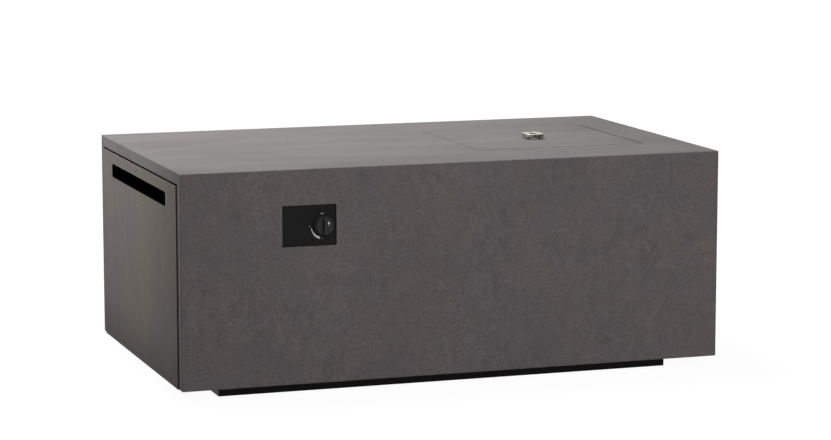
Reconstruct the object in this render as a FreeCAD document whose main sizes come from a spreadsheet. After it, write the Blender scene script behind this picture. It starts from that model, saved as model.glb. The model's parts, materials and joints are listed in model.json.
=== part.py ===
import FreeCAD, Part
import math
import os
import re
import Sketcher
from FreeCAD import Placement, Rotation, Vector

# Fire pit table: a low concrete box with a gas burner under a flush lid.
# +X runs along the table to its closed end, +Y to the back, +Z up.
# The origin is on the floor under the middle of the table, and the controls face -Y.

SIZES = {
    # concrete shell
    "length": 1524, "depth": 914.4, "height": 609.6, "wall": 31, "arris": 2.5, "lip": 1.5,
    # plinth under the shell
    "plinth_height": 36, "plinth_end_inset": 120, "plinth_side_inset": 84, "plinth_width": 30,
    # lid, its opening and its handle; the loose lid lies a little to the left and back in its opening
    "lid_length": 486, "lid_depth": 466, "lid_thickness": 25, "lid_gap": 3, "lid_end_margin": 133,
    "lid_proud": 0.25, "lid_lip": 0.6, "lid_aside": 1.2, "lid_back": 1,
    "bumper_radius": 6, "rest_gap": 0.3,
    "handle_left": 4.8, "handle_forward": 29, "handle_length": 52, "handle_depth": 60,
    "handle_band": 15, "handle_thickness": 9.5, "handle_rise": 5.5, "handle_foot_radius": 5,
    "handle_foot_spacing": 36, "handle_corner": 14, "handle_inner_corner": 7, "handle_round": 1.5,
    "lid_screw_radius": 2.5, "lid_screw_head_radius": 4.5, "lid_screw_head_height": 3.5,
    "lid_screw_bite": 7, "lid_counterbore_radius": 6, "lid_counterbore_depth": 6,
    # end front of the pull-out tank drawer
    "drawer_wall": 31, "front_gap_side": 5, "front_gap_top": 3.5, "front_proud": 3,
    "slot_length": 620, "slot_height": 36.5, "slot_margin": 31.5, "slot_corner": 10,
    # steel frame
    "tube": 25, "tube_wall": 2, "frame_setback": 6, "burner_bay_gap": 59, "base_sheet": 2,
    "vent_width": 12, "vent_length": 300, "vent_pitch": 40, "vent_count": 5, "vent_start": 185,
    "tab_length": 40, "tab_thickness": 3, "tab_width": 40, "tab_low": 140, "tab_drop": 112.6,
    # fasteners into cast-in inserts
    "screw_radius": 3, "screw_head_radius": 5.5, "screw_head_height": 4, "screw_length": 22,
    "socket_width": 4, "socket_depth": 2.5, "insert_radius": 5, "insert_length": 22, "thread_gap": 0.05,
    # drawer and its telescopic slides
    "slide_length": 420, "slide_height": 45, "slide_depth": 12.7, "slide_sheet": 1.5,
    "slide_play": 0.4, "slide_side_gap": 0.5, "slide_level": 112, "slide_start": 2,
    "drawer_length": 400, "drawer_sheet": 2.5, "drawer_side_height": 80, "drawer_clearance": 6,
    "drawer_back_height": 40, "upright_leg": 40, "upright_drop": 71.1, "upright_screw_low": 70,
    "upright_screw_margin": 41,
    "tank_centre": 189, "tank_ring_radius": 105, "tank_ring_sheet": 2, "tank_ring_height": 25,
    "floor_vent_radius": 9, "floor_vent_pitch": 60, "floor_vent_count": 5, "floor_vent_inset": 45,
    "catch_length": 40, "catch_depth": 17, "catch_height": 15, "catch_inset": 51.2,
    "strike_sheet": 2, "strike_height": 12, "strike_length": 36,
    # control plate, its box and the knob
    "plate_left": 274, "plate_width": 149, "plate_drop": 95.6, "plate_height": 110, "plate_arris": 0.6,
    "plate_recess": 4, "plate_sheet": 2, "plate_gap": 1, "box_sheet": 1.5, "box_flange": 22,
    "knob_across": 114, "knob_up": 53, "knob_radius": 27.5, "knob_edge": 3, "knob_body": 12,
    "knob_face_radius": 22.5, "knob_gap": 4, "grip_width": 11, "grip_length": 43, "grip_rise": 11,
    "grip_round": 2.5, "knob_chamfer": 1,
    "push_travel": 3, "spindle_radius": 4, "spindle_flat": 3, "spindle_in_knob": 14,
    "running_gap": 0.06, "spindle_hole_gap": 1.5,
    # gas valve and its fittings
    "valve_reach": 81, "valve_width": 40, "valve_block_depth": 44, "valve_tall": 40,
    "valve_neck_radius": 13, "valve_flange_width": 50, "valve_flange_height": 26,
    "valve_flange_sheet": 3, "valve_screw_spread": 19, "valve_screw_radius": 2,
    "valve_screw_head_radius": 3.5, "valve_screw_head_height": 2.5,
    "spindle_stop": 18, "plunger_end": 12,
    "hex_radius": 11, "hex_length": 10, "inlet_thread_radius": 7.94, "inlet_thread_length": 16,
    "inlet_bore_radius": 4,
    # gas tube and leads
    "tube_radius": 6, "tube_bore_radius": 4.5, "tube_lead": 60, "tube_bend": 170,
    "sense_radius": 1.5, "spark_radius": 2, "lead_inset": 56, "lead_split": 7, "lead_landing": 50,
    "lead_drop": 10, "lead_bend": 10, "bend_share": 0.45, "partition_sheet": 1.5, "pass_margin": 12,
    "pass_edge": 3,
    # burner, pan and fire media
    "ledge": 15, "pan_fit": 1, "pan_sheet": 1.5, "pan_depth": 90, "pan_margin": 3, "drain_radius": 4,
    "riser_radius": 10.65, "riser_bore_radius": 7.9, "elbow_bend": 20, "elbow_radius": 13,
    "elbow_drop": 11.6, "mixer_radius": 13, "mixer_length": 55, "mixer_window": 9,
    "mixer_window_length": 22, "orifice_radius": 13, "orifice_length": 20, "orifice_bore_radius": 1.2,
    "locknut_radius": 18, "locknut_height": 6,
    "hub_radius": 20, "hub_height": 22, "hub_lift": 16, "ring_radius": 125, "ring_tube_radius": 9.5,
    "ring_wall": 1.2, "arm_radius": 8, "port_radius": 1.6, "port_count": 24,
    "media_depth": 62, "media_edge": 3,
    "hood_shift": 38, "hood_length": 60, "hood_width": 36, "hood_sheet": 1.2, "hood_rise": 3,
    "hood_clearance": 2,
    "hood_window_length": 34, "hood_window_height": 18, "hood_window_level": 16,
    "pilot_sheet": 1.5, "pilot_length": 44, "pilot_width": 32, "pilot_split": 9,
    "ceramic_radius": 3.5, "ceramic_height": 26, "spark_wire_radius": 1, "spark_wire_height": 8,
    "probe_radius": 2.5, "probe_height": 38, "pilot_hole_radius": 14,
    # how far one solid reaches past a face where it cuts or joins another
    "overrun": 1,
}

# Places that follow from the sizes, each a formula
PLACES = {
    "left": "-length / 2", "right": "length / 2", "front": "-depth / 2", "back": "depth / 2",
    "inner_front": "front + wall", "inner_back": "back - wall", "inner_right": "right - wall",
    "slab_bottom": "height - wall", "shell_height": "height - plinth_height",
    "drawer_face": "left - front_proud", "drawer_inner": "drawer_face + drawer_wall",
    "drawer_front_width": "depth - 2 * wall - 2 * front_gap_side",
    "drawer_front_height": "slab_bottom - front_gap_top - plinth_height",
    "frame_left": "drawer_inner + frame_setback",
    "mid_left": "lid_x - ledge_x - 2 * tube - burner_bay_gap",
    "frame_bottom": "plinth_height + base_sheet",
    "low_rail_top": "frame_bottom + tube", "high_rail_bottom": "slab_bottom - tube",
    "post_front": "inner_front + tube", "post_back": "inner_back - tube",
    "lid_x": "right - lid_end_margin - lid_length / 2",
    "opening_x": "lid_length / 2 + lid_gap", "opening_y": "lid_depth / 2 + lid_gap",
    "ledge_x": "opening_x - ledge", "ledge_y": "opening_y - ledge",
    "pan_x": "ledge_x - pan_fit", "pan_y": "ledge_y - pan_fit",
    "flange_x": "opening_x - pan_margin", "flange_y": "opening_y - pan_margin",
    "flange_top": "slab_bottom + pan_sheet", "pan_floor": "slab_bottom - pan_depth + pan_sheet",
    "pan_bottom": "slab_bottom - pan_depth", "lid_top": "height + lid_proud",
    "lid_bottom": "lid_top - lid_thickness", "lid_middle": "lid_x - lid_aside",
    "handle_x": "lid_middle - handle_left", "handle_y": "lid_back - handle_forward",
    "drawer_bottom": "low_rail_top + drawer_clearance", "floor_top": "drawer_bottom + drawer_sheet",
    "slide_face": "depth / 2 - wall - tube",
    "drawer_half": "slide_face - slide_depth - slide_side_gap",
    "drawer_inside": "drawer_half - drawer_sheet",
    "middle_height": "slide_height - 2 * slide_sheet - 2 * slide_play",
    "inner_height": "middle_height - 2 * slide_sheet - 2 * slide_play",
    "upright_height": "high_rail_bottom - upright_drop - floor_top",
    "upright_screw_pitch": "(upright_height - upright_screw_low - upright_screw_margin) / 2",
    "catch_spread": "slide_face - catch_inset", "tank_x": "drawer_inner + tank_centre",
    "plate_bottom": "shell_height - plate_drop - plate_height",
    "knob_x": "left + plate_left + knob_across", "knob_z": "plinth_height + plate_bottom + knob_up",
    "plate_face": "front + plate_recess", "plate_back": "plate_face + plate_sheet",
    "knob_back": "plate_face - knob_gap", "fitting_y": "front + valve_reach",
    "block_front": "fitting_y - valve_block_depth / 2", "block_back": "fitting_y + valve_block_depth / 2",
    "spindle_end": "fitting_y - spindle_stop", "bore_end": "fitting_y + plunger_end",
    "mixer_z": "pan_bottom - elbow_drop - elbow_bend",
    "mixer_front": "-elbow_bend - mixer_length", "tube_end_y": "mixer_front - orifice_length",
    "hub_bottom": "pan_floor + hub_lift", "ring_z": "hub_bottom + hub_height / 2",
    "media_top": "pan_floor + media_depth",
    "hood_x": "lid_x - hood_shift",
    "hood_y": "-ring_radius - ring_tube_radius - hood_clearance - hood_width / 2",
    "lead_y": "fitting_y + lead_inset",
    "partition_x": "mid_left + (tube - partition_sheet) / 2",
}

TURNS = {
    "X": Rotation(Vector(0, 0, 1), Vector(1, 0, 0)),
    "-X": Rotation(Vector(0, 0, 1), Vector(-1, 0, 0)),
    "Y": Rotation(Vector(0, 0, 1), Vector(0, 1, 0)),
    "-Y": Rotation(Vector(0, 0, 1), Vector(0, -1, 0)),
    "Z": Rotation(),
    "-Z": Rotation(Vector(1, 0, 0), 180),
}

CLOSE = 1e-3  # millimetres, or cubic millimetres, that count as no difference
STRAIGHT = 1e-4  # radians of turn that count as none

doc = FreeCAD.newDocument("fire_pit_table")
sheet = doc.addObject("Spreadsheet::Sheet", "Sizes")
for row, (word, number) in enumerate(SIZES.items(), start=1):
    sheet.set(f"A{row}", word)
    sheet.set(f"B{row}", str(number))
    sheet.setAlias(f"B{row}", word)
doc.recompute()
kept = []


def formula(text):
    """Open the derived places in a formula and give each size the sheet's name."""
    def swap(match):
        word = match.group(0)
        if word in PLACES:
            return "(" + formula(PLACES[word]) + ")"
        return "Sizes." + word if word in SIZES else word
    return re.sub(r"[a-z][a-z_0-9]*", swap, str(text))


def value(text):
    return float(sheet.evalExpression(formula(text)))


def bind(item, formulas):
    for name, text in formulas.items():
        item.setExpression(name, formula(text))
    return item


def place(item, x, y, z, turn="Z"):
    item.Placement = Placement(Vector(), TURNS[turn])
    return bind(item, {"Placement.Base.x": x, "Placement.Base.y": y, "Placement.Base.z": z})


def keep(item, label):
    item.Label = label
    kept.append(item)
    return item


# Part primitives and booleans

def box(name, low, high):
    """A block between two corners, each three formulas."""
    item = place(doc.addObject("Part::Box", name), *low)
    sides = zip(("Length", "Width", "Height"), low, high)
    return bind(item, {side: f"({end}) - ({start})" for side, start, end in sides})


def rod(name, start, along, radius, length):
    item = place(doc.addObject("Part::Cylinder", name), *start, along)
    return bind(item, {"Radius": radius, "Height": length})


def hexagon(name, start, along, radius, length):
    item = place(doc.addObject("Part::Prism", name), *start, along)
    item.Polygon = 6
    return bind(item, {"Circumradius": radius, "Height": length})


def cut(name, base, tool):
    item = doc.addObject("Part::Cut", name)
    item.Base, item.Tool = base, tool
    return item


def fuse(name, items):
    item = doc.addObject("Part::MultiFuse", name)
    item.Shapes = items
    return item


def common(name, items):
    item = doc.addObject("Part::MultiCommon", name)
    item.Shapes = items
    return item


def group(name, items):
    """Separate solids that belong to one sub-part."""
    item = doc.addObject("Part::Compound", name)
    item.Links = items
    return item


def ring_rod(name, start, along, radius, bore, length):
    outer = rod(name + "_outer", start, along, radius, length)
    return cut(name, outer, rod(name + "_bore", start, along, bore, length))


def copies(name, master, spots):
    """Links to one master solid at spots given as (x, y, z, direction)."""
    links = []
    for x, y, z, turn in spots:
        link = doc.addObject("App::Link", name + "_copy")
        link.LinkedObject = master
        link.LinkTransform = True
        links.append(place(link, x, y, z, turn))
    return group(name, links)


# PartDesign bodies

def body(name, x="0", y="0", z="0", turn="Z"):
    return place(doc.addObject("PartDesign::Body", name), x, y, z, turn)


def sketch(owner, name, role, offset="0"):
    item = owner.newObject("Sketcher::SketchObject", name)
    flat = next(feature for feature in owner.Origin.OriginFeatures if feature.Role == role)
    item.AttachmentSupport = [(flat, "")]
    item.MapMode = "FlatFace"
    return bind(item, {"AttachmentOffset.Base.z": offset})


def outline(item, corners):
    """A closed straight-sided outline whose corners are pairs of formulas."""
    points = [Vector(value(x), value(y), 0) for x, y in corners]
    first, count = item.GeometryCount, len(corners)
    for index, point in enumerate(points):
        item.addGeometry(Part.LineSegment(point, points[(index + 1) % count]), False)
    for index in range(count):
        following = first + (index + 1) % count
        item.addConstraint(Sketcher.Constraint("Coincident", first + index, 2, following, 1))
    for index, point in enumerate(points):
        for kind, number, text in zip(("DistanceX", "DistanceY"), point, corners[index]):
            row = item.addConstraint(Sketcher.Constraint(kind, -1, 1, first + index, 1, number))
            item.setExpression(f"Constraints[{row}]", formula(text))
    return item


def rectangle(item, x0, y0, x1, y1):
    return outline(item, [(x0, y0), (x1, y0), (x1, y1), (x0, y1)])


def circle(item, x, y, radius):
    centre = Vector(value(x), value(y), 0)
    ring = item.addGeometry(Part.Circle(centre, Vector(0, 0, 1), value(radius)), False)
    for kind, number, text in (("DistanceX", centre.x, x), ("DistanceY", centre.y, y)):
        row = item.addConstraint(Sketcher.Constraint(kind, -1, 1, ring, 3, number))
        item.setExpression(f"Constraints[{row}]", formula(text))
    row = item.addConstraint(Sketcher.Constraint("Radius", ring, value(radius)))
    item.setExpression(f"Constraints[{row}]", formula(radius))
    return item


def pad(owner, profile, length, backwards=False):
    item = owner.newObject("PartDesign::Pad", profile.Name + "_pad")
    item.Profile = profile
    item.Reversed = backwards
    return bind(item, {"Length": length})


def pocket(owner, profile, length=None, backwards=False):
    """A pocket, through everything when it has no length, that has to take material away."""
    doc.recompute()
    before = owner.Shape.Volume
    item = owner.newObject("PartDesign::Pocket", profile.Name + "_pocket")
    item.Profile = profile
    item.Reversed = backwards
    if length is None:
        item.Type = "ThroughAll"
    else:
        bind(item, {"Length": length})
    doc.recompute()
    if owner.Shape.Volume > before - CLOSE:
        raise ValueError(f"{profile.Name} cuts nothing")
    return item


def revolve(owner, profile):
    item = owner.newObject("PartDesign::Revolution", profile.Name + "_turn")
    item.Profile = profile
    item.ReferenceAxis = (profile, ["V_Axis"])
    item.Angle = 360
    return item


def round_edges(owner, name, radius, test):
    """Fillet the body's edges whose centre and direction pass a test."""
    doc.recompute()
    base = owner.Tip
    names = []
    for index, edge in enumerate(base.Shape.Edges, start=1):
        bounds = edge.BoundBox
        if test(bounds.Center, (bounds.XLength, bounds.YLength, bounds.ZLength)):
            names.append(f"Edge{index}")
    item = owner.newObject("PartDesign::Fillet", name)
    item.Base = (base, names)
    return bind(item, {"Radius": radius})


def near(a, b):
    return abs(a - b) < CLOSE


# Concrete shell: four panels mitred together and rounded as one form

def shell_form():
    form = body("shell_form", "left", "front", "plinth_height")
    plan = rectangle(sketch(form, "shell_plan", "XY_Plane"), "0", "0", "length", "depth")
    pad(form, plan, "shell_height")
    round_edges(form, "shell_arris", "arris", lambda centre, span: True)
    return form


def finish_panel(cast, label, form, holes):
    rounded = common(label + "_rounded", [cast, form])
    keep(cut(label, rounded, holes), label)


def top_slab(form, holes):
    slab = body("top_slab_cast", "left", "front", "slab_bottom")
    section = sketch(slab, "slab_section", "YZ_Plane")
    outline(section, [("0", "wall"), ("depth", "wall"), ("depth - wall", "0"), ("wall", "0")])
    pad(slab, section, "length")
    mitre = sketch(slab, "slab_mitre", "XZ_Plane")
    outline(mitre, [("length", "wall"), ("length", "0"), ("length - wall", "0")])
    pocket(slab, mitre)
    opening = sketch(slab, "lid_opening", "XY_Plane", "wall")
    middle = "lid_x - left"
    rectangle(opening, f"{middle} - opening_x", "depth / 2 - opening_y",
              f"{middle} + opening_x", "depth / 2 + opening_y")
    pocket(slab, opening)
    top, low, high = value("wall"), value("lid_gap"), value("length - 2 * lid_gap")
    near_side, far_side = value("wall"), value("depth - wall")
    round_edges(slab, "opening_lip", "lid_lip", lambda centre, span: near(centre.z, top)
                and low < centre.x < high and near_side < centre.y < far_side)
    round_edges(slab, "slab_end_lip", "lip", lambda centre, span: near(centre.x, 0) and near(centre.z, 0))
    finish_panel(slab, "top_slab", form, holes)


def front_panel(form, holes):
    panel = body("front_panel_cast", "left", "front", "plinth_height")
    section = sketch(panel, "front_section", "YZ_Plane")
    outline(section, [("0", "0"), ("wall", "0"), ("wall", "shell_height - wall"), ("0", "shell_height")])
    pad(panel, section, "length")
    mitre = sketch(panel, "front_mitre", "XY_Plane")
    outline(mitre, [("length", "0"), ("length", "wall"), ("length - wall", "wall")])
    pocket(panel, mitre, backwards=True)
    window = sketch(panel, "control_window", "XZ_Plane")
    rectangle(window, "plate_left", "plate_bottom", "plate_left + plate_width",
              "plate_bottom + plate_height")
    pocket(panel, window)
    wall = value("wall")
    round_edges(panel, "front_end_lip", "lip", lambda centre, span: near(centre.x, 0)
                and near(centre.y, wall))
    finish_panel(panel, "front_panel", form, holes)


def back_panel(form, holes):
    panel = body("back_panel_cast", "left", "inner_back", "plinth_height")
    section = sketch(panel, "back_section", "YZ_Plane")
    outline(section, [("0", "0"), ("wall", "0"), ("wall", "shell_height"), ("0", "shell_height - wall")])
    pad(panel, section, "length")
    mitre = sketch(panel, "back_mitre", "XY_Plane")
    outline(mitre, [("length", "0"), ("length", "wall"), ("length - wall", "0")])
    pocket(panel, mitre, backwards=True)
    round_edges(panel, "back_end_lip", "lip", lambda centre, span: near(centre.x, 0) and near(centre.y, 0))
    finish_panel(panel, "back_panel", form, holes)


def end_panel(form, holes):
    panel = body("end_panel_cast", "inner_right", "front", "plinth_height")
    section = sketch(panel, "end_section", "XZ_Plane")
    outline(section, [("0", "0"), ("wall", "0"), ("wall", "shell_height"), ("0", "shell_height - wall")])
    pad(panel, section, "depth", backwards=True)
    mitre = sketch(panel, "end_mitres", "XY_Plane")
    outline(mitre, [("0", "0"), ("wall", "0"), ("0", "wall")])
    outline(mitre, [("0", "depth"), ("wall", "depth"), ("0", "depth - wall")])
    pocket(panel, mitre, backwards=True)
    finish_panel(panel, "end_panel", form, holes)


# Fasteners: a cap screw in a cast-in insert, both drawn along +Z from the panel's inner face

def fastener_masters():
    screw = body("panel_screw_master")
    half = sketch(screw, "screw_half", "XZ_Plane")
    outline(half, [("0", "-tab_thickness - screw_head_height"),
                   ("screw_head_radius", "-tab_thickness - screw_head_height"),
                   ("screw_head_radius", "-tab_thickness"), ("screw_radius", "-tab_thickness"),
                   ("screw_radius", "screw_length - tab_thickness"),
                   ("0", "screw_length - tab_thickness")])
    revolve(screw, half)
    socket = sketch(screw, "screw_socket", "XY_Plane", "-tab_thickness - screw_head_height")
    corners = [(f"socket_width / sqrt(3) * cos({angle} deg)", f"socket_width / sqrt(3) * sin({angle} deg)")
               for angle in range(0, 360, 60)]
    outline(socket, corners)
    pocket(screw, socket, "socket_depth", backwards=True)
    insert = ring_rod("panel_insert_master", ("0", "0", "0"), "Z", "insert_radius",
                      "screw_radius + thread_gap", "insert_length")
    hole = rod("insert_hole_master", ("0", "0", "0"), "Z", "insert_radius", "insert_length")
    clearance = rod("tab_hole_master", ("0", "0", "-tab_thickness"), "Z", "screw_radius + thread_gap",
                    "tab_thickness")
    return screw, insert, hole, clearance


def tab_levels():
    """Undersides of the two rows of tabs: one up from the plinth, one down from the slab."""
    return ("plinth_height + tab_low", "slab_bottom - tab_drop")


def tab_plan():
    """Each tab as (low corner, high corner, screw spot) with the panel that it holds."""
    tabs = []
    ends = (("frame_left + tube", "frame_left + tube + tab_length"),
            ("inner_right - tube - tab_length", "inner_right - tube"))
    for low_x, high_x in ends:
        for level in tab_levels():
            middle, top = f"{level} + tab_width / 2", f"{level} + tab_width"
            centre = f"({low_x} + {high_x}) / 2"
            tabs.append(("front", (low_x, "inner_front", level),
                         (high_x, "inner_front + tab_thickness", top), (centre, "inner_front", middle, "-Y")))
            tabs.append(("back", (low_x, "inner_back - tab_thickness", level),
                         (high_x, "inner_back", top), (centre, "inner_back", middle, "Y")))
        for low_y, high_y in (("post_front", "post_front + tab_width"),
                              ("post_back - tab_width", "post_back")):
            spot = (f"({low_x} + {high_x}) / 2", f"({low_y} + {high_y}) / 2", "slab_bottom", "Z")
            tabs.append(("top", (low_x, low_y, "slab_bottom - tab_thickness"),
                         (high_x, high_y, "slab_bottom"), spot))
    for low_y, high_y in (("post_front", "post_front + tab_length"),
                          ("post_back - tab_length", "post_back")):
        for level in tab_levels():
            spot = ("inner_right", f"({low_y} + {high_y}) / 2", f"{level} + tab_width / 2", "X")
            tabs.append(("end", ("inner_right - tab_thickness", low_y, level),
                         ("inner_right", high_y, f"{level} + tab_width"), spot))
    return tabs


def box_spots():
    """The two screws through the flange of the control box."""
    middle = "plinth_height + plate_bottom + plate_height / 2"
    return [(f"left + plate_left - box_flange / 2", "inner_front", middle, "-Y"),
            (f"left + plate_left + plate_width + box_flange / 2", "inner_front", middle, "-Y")]


def shell_and_fasteners():
    screw, insert, hole, clearance = fastener_masters()
    tabs = tab_plan()
    spots = {side: [spot for owner, low, high, spot in tabs if owner == side]
             for side in ("top", "front", "back", "end")}
    spots["front"] += box_spots()
    form = shell_form()
    makers = {"top": top_slab, "front": front_panel, "back": back_panel, "end": end_panel}
    for side, maker in makers.items():
        maker(form, copies(side + "_insert_holes", hole, spots[side]))
    plates = []
    for index, (owner, low, high, spot) in enumerate(tabs):
        blank = box(f"tab_blank_{index}", low, high)
        plates.append(cut(f"tab_{index}", blank, copies(f"tab_hole_{index}", clearance, [spot])))
    keep(group("panel_tab_group", plates), "panel_tabs")
    everywhere = [spot for side in spots.values() for spot in side]
    keep(copies("panel_screw_group", screw, everywhere), "panel_screws")
    keep(copies("panel_insert_group", insert, everywhere), "panel_inserts")
    return screw, insert, hole, clearance


# Plinth and base

def plinth():
    low_x, high_x = "left + plinth_end_inset", "right - plinth_end_inset"
    low_y, high_y = "front + plinth_side_inset", "back - plinth_side_inset"
    rows = ((low_y, f"{low_y} + plinth_width"), (f"{high_y} - plinth_width", high_y))
    sides = [box("plinth_side_rail", (low_x, y0, "0"), (high_x, y1, "plinth_height")) for y0, y1 in rows]
    keep(group("plinth_side_group", sides), "plinth_side_rails")
    starts = (low_x, "-plinth_width / 2", f"{high_x} - plinth_width")
    crossings = [box("plinth_cross_rail", (start, f"{low_y} + plinth_width", "0"),
                     (f"{start} + plinth_width", f"{high_y} - plinth_width", "plinth_height"))
                 for start in starts]
    keep(group("plinth_cross_group", crossings), "plinth_cross_rails")


def base_plate():
    plate = body("base_plate", "frame_left", "inner_front", "plinth_height")
    plan = rectangle(sketch(plate, "base_plan", "XY_Plane"), "0", "0", "inner_right - frame_left",
                     "inner_back - inner_front")
    pad(plate, plan, "base_sheet")
    vent = sketch(plate, "base_vent", "XY_Plane", "base_sheet")
    middle = "(inner_back - inner_front) / 2"
    rectangle(vent, "vent_start", f"{middle} - vent_length / 2", "vent_start + vent_width",
              f"{middle} + vent_length / 2")
    opened = pocket(plate, vent)
    rows = plate.newObject("PartDesign::LinearPattern", "base_vents")
    rows.Originals = [opened]
    rows.Direction = (vent, ["H_Axis"])
    bind(rows, {"Length": "vent_pitch * (vent_count - 1)", "Occurrences": "vent_count"})
    plate.Tip = rows
    keep(plate, "base_plate")


# Steel frame of square tube

def square_tube(name, low, high, along):
    outer = box(name + "_outside", low, high)
    low_in, high_in = list(low), list(high)
    for axis in {0, 1, 2} - {along}:
        low_in[axis] = f"{low[axis]} + tube_wall"
        high_in[axis] = f"{high[axis]} - tube_wall"
    return cut(name, outer, box(name + "_inside", low_in, high_in))


def post_lines():
    """Low X of the three pairs of posts."""
    return ("frame_left", "mid_left", "inner_right - tube")


def frame():
    posts, cross_low, cross_high, side_low, side_high = [], [], [], [], []
    sides = (("inner_front", "post_front"), ("post_back", "inner_back"))
    for x in post_lines():
        for y0, y1 in sides:
            posts.append(square_tube("frame_post", (x, y0, "frame_bottom"),
                                     (f"{x} + tube", y1, "slab_bottom"), 2))
        cross_low.append(square_tube("low_cross_rail", (x, "post_front", "frame_bottom"),
                                     (f"{x} + tube", "post_back", "low_rail_top"), 1))
        cross_high.append(square_tube("high_cross_rail", (x, "post_front", "high_rail_bottom"),
                                      (f"{x} + tube", "post_back", "slab_bottom"), 1))
    lines = post_lines()
    for start, end in zip(lines[:-1], lines[1:]):
        for y0, y1 in sides:
            side_low.append(square_tube("low_side_rail", (f"{start} + tube", y0, "frame_bottom"),
                                        (end, y1, "low_rail_top"), 0))
            side_high.append(square_tube("high_side_rail", (f"{start} + tube", y0, "high_rail_bottom"),
                                         (end, y1, "slab_bottom"), 0))
    keep(group("frame_post_group", posts), "frame_posts")
    keep(group("low_side_group", side_low), "frame_bottom_side_rails")
    keep(group("low_cross_group", cross_low), "frame_bottom_cross_rails")
    keep(group("high_side_group", side_high), "frame_top_side_rails")
    keep(group("high_cross_group", cross_high), "frame_top_cross_rails")


def burner_rails():
    """Rails under the edge of the lid opening: the slab and the pan both rest on them."""
    crossings = [square_tube("burner_cross_rail", (x, "post_front", "high_rail_bottom"),
                             (f"{x} + tube", "post_back", "slab_bottom"), 1)
                 for x in ("lid_x - ledge_x - tube", "lid_x + ledge_x")]
    ledges = [square_tube("burner_ledge_rail", ("lid_x - ledge_x", y, "high_rail_bottom"),
                          ("lid_x + ledge_x", f"{y} + tube", "slab_bottom"), 0)
              for y in ("-ledge_y - tube", "ledge_y")]
    keep(group("burner_rail_group", crossings + ledges), "burner_rails")


def slide_rails():
    rails = [square_tube("slide_rail", ("frame_left + tube", y0, "slide_level - tube / 2"),
                         ("mid_left", y1, "slide_level + tube / 2"), 0)
             for y0, y1 in (("inner_front", "post_front"), ("post_back", "inner_back"))]
    keep(group("slide_rail_group", rails), "slide_rails")


def partition():
    sheet_metal = box("partition_blank", ("partition_x", "post_front", "low_rail_top"),
                      ("partition_x + partition_sheet", "post_back", "high_rail_bottom"))
    low = ("partition_x - pass_edge", "fitting_y - tube_radius - pass_margin",
           "min(knob_z - lead_split; mixer_z) - tube_radius - pass_margin")
    high = ("partition_x + partition_sheet + pass_edge", "lead_y + spark_radius + pass_margin",
            "max(knob_z + lead_split; mixer_z) + tube_radius + pass_margin")
    gap = box("partition_pass", low, high)
    keep(cut("partition_sheet_metal", sheet_metal, gap), "partition")
    seal_low = (f"{low[0]}", f"{low[1]} + pass_edge", f"{low[2]} + pass_edge")
    seal_high = (f"{high[0]}", f"{high[1]} - pass_edge", f"{high[2]} - pass_edge")
    seal = cut("grommet_ring", box("grommet_outside", low, high),
               box("grommet_inside", seal_low, seal_high))
    keep(seal, "partition_grommet")


# Drawer: a concrete end front on a sheet-metal tray that carries the gas cylinder

def drawer_front(hole_spots):
    panel = body("drawer_front_cast", "drawer_face", "-drawer_front_width / 2", "plinth_height")
    face = rectangle(sketch(panel, "drawer_face_plan", "YZ_Plane"), "0", "0", "drawer_front_width",
                     "drawer_front_height")
    pad(panel, face, "drawer_wall")
    round_edges(panel, "drawer_front_arris", "lip", lambda centre, span: True)
    slot_low, slot_high = "(drawer_front_width - slot_length) / 2", "(drawer_front_width + slot_length) / 2"
    slot_top = "drawer_front_height - slot_margin"
    slot_foot = f"{slot_top} - slot_height"
    slot = sketch(panel, "hand_slot", "YZ_Plane")
    rectangle(slot, slot_low, slot_foot, slot_high, slot_top)
    pocket(panel, slot, backwards=True)
    low, high, full = value(slot_low), value(slot_high), value("drawer_wall")
    foot, top = value(slot_foot), value(slot_top)
    round_edges(panel, "hand_slot_corners", "slot_corner", lambda centre, span: near(span[0], full)
                and (near(centre.y, low) or near(centre.y, high)))
    round_edges(panel, "hand_slot_lips", "lip", lambda centre, span: near(centre.x, 0)
                and low - CLOSE < centre.y < high + CLOSE and foot - CLOSE < centre.z < top + CLOSE)
    keep(cut("drawer_front", panel, hole_spots), "drawer_front")


def upright_spots():
    spots = []
    for side in ("-1", "1"):
        for step in range(3):
            spots.append(("drawer_inner", f"{side} * (drawer_inside - upright_leg / 2 - 2 * tab_thickness)",
                          f"floor_top + upright_screw_low + {step} * upright_screw_pitch", "-X"))
    return spots


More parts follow.
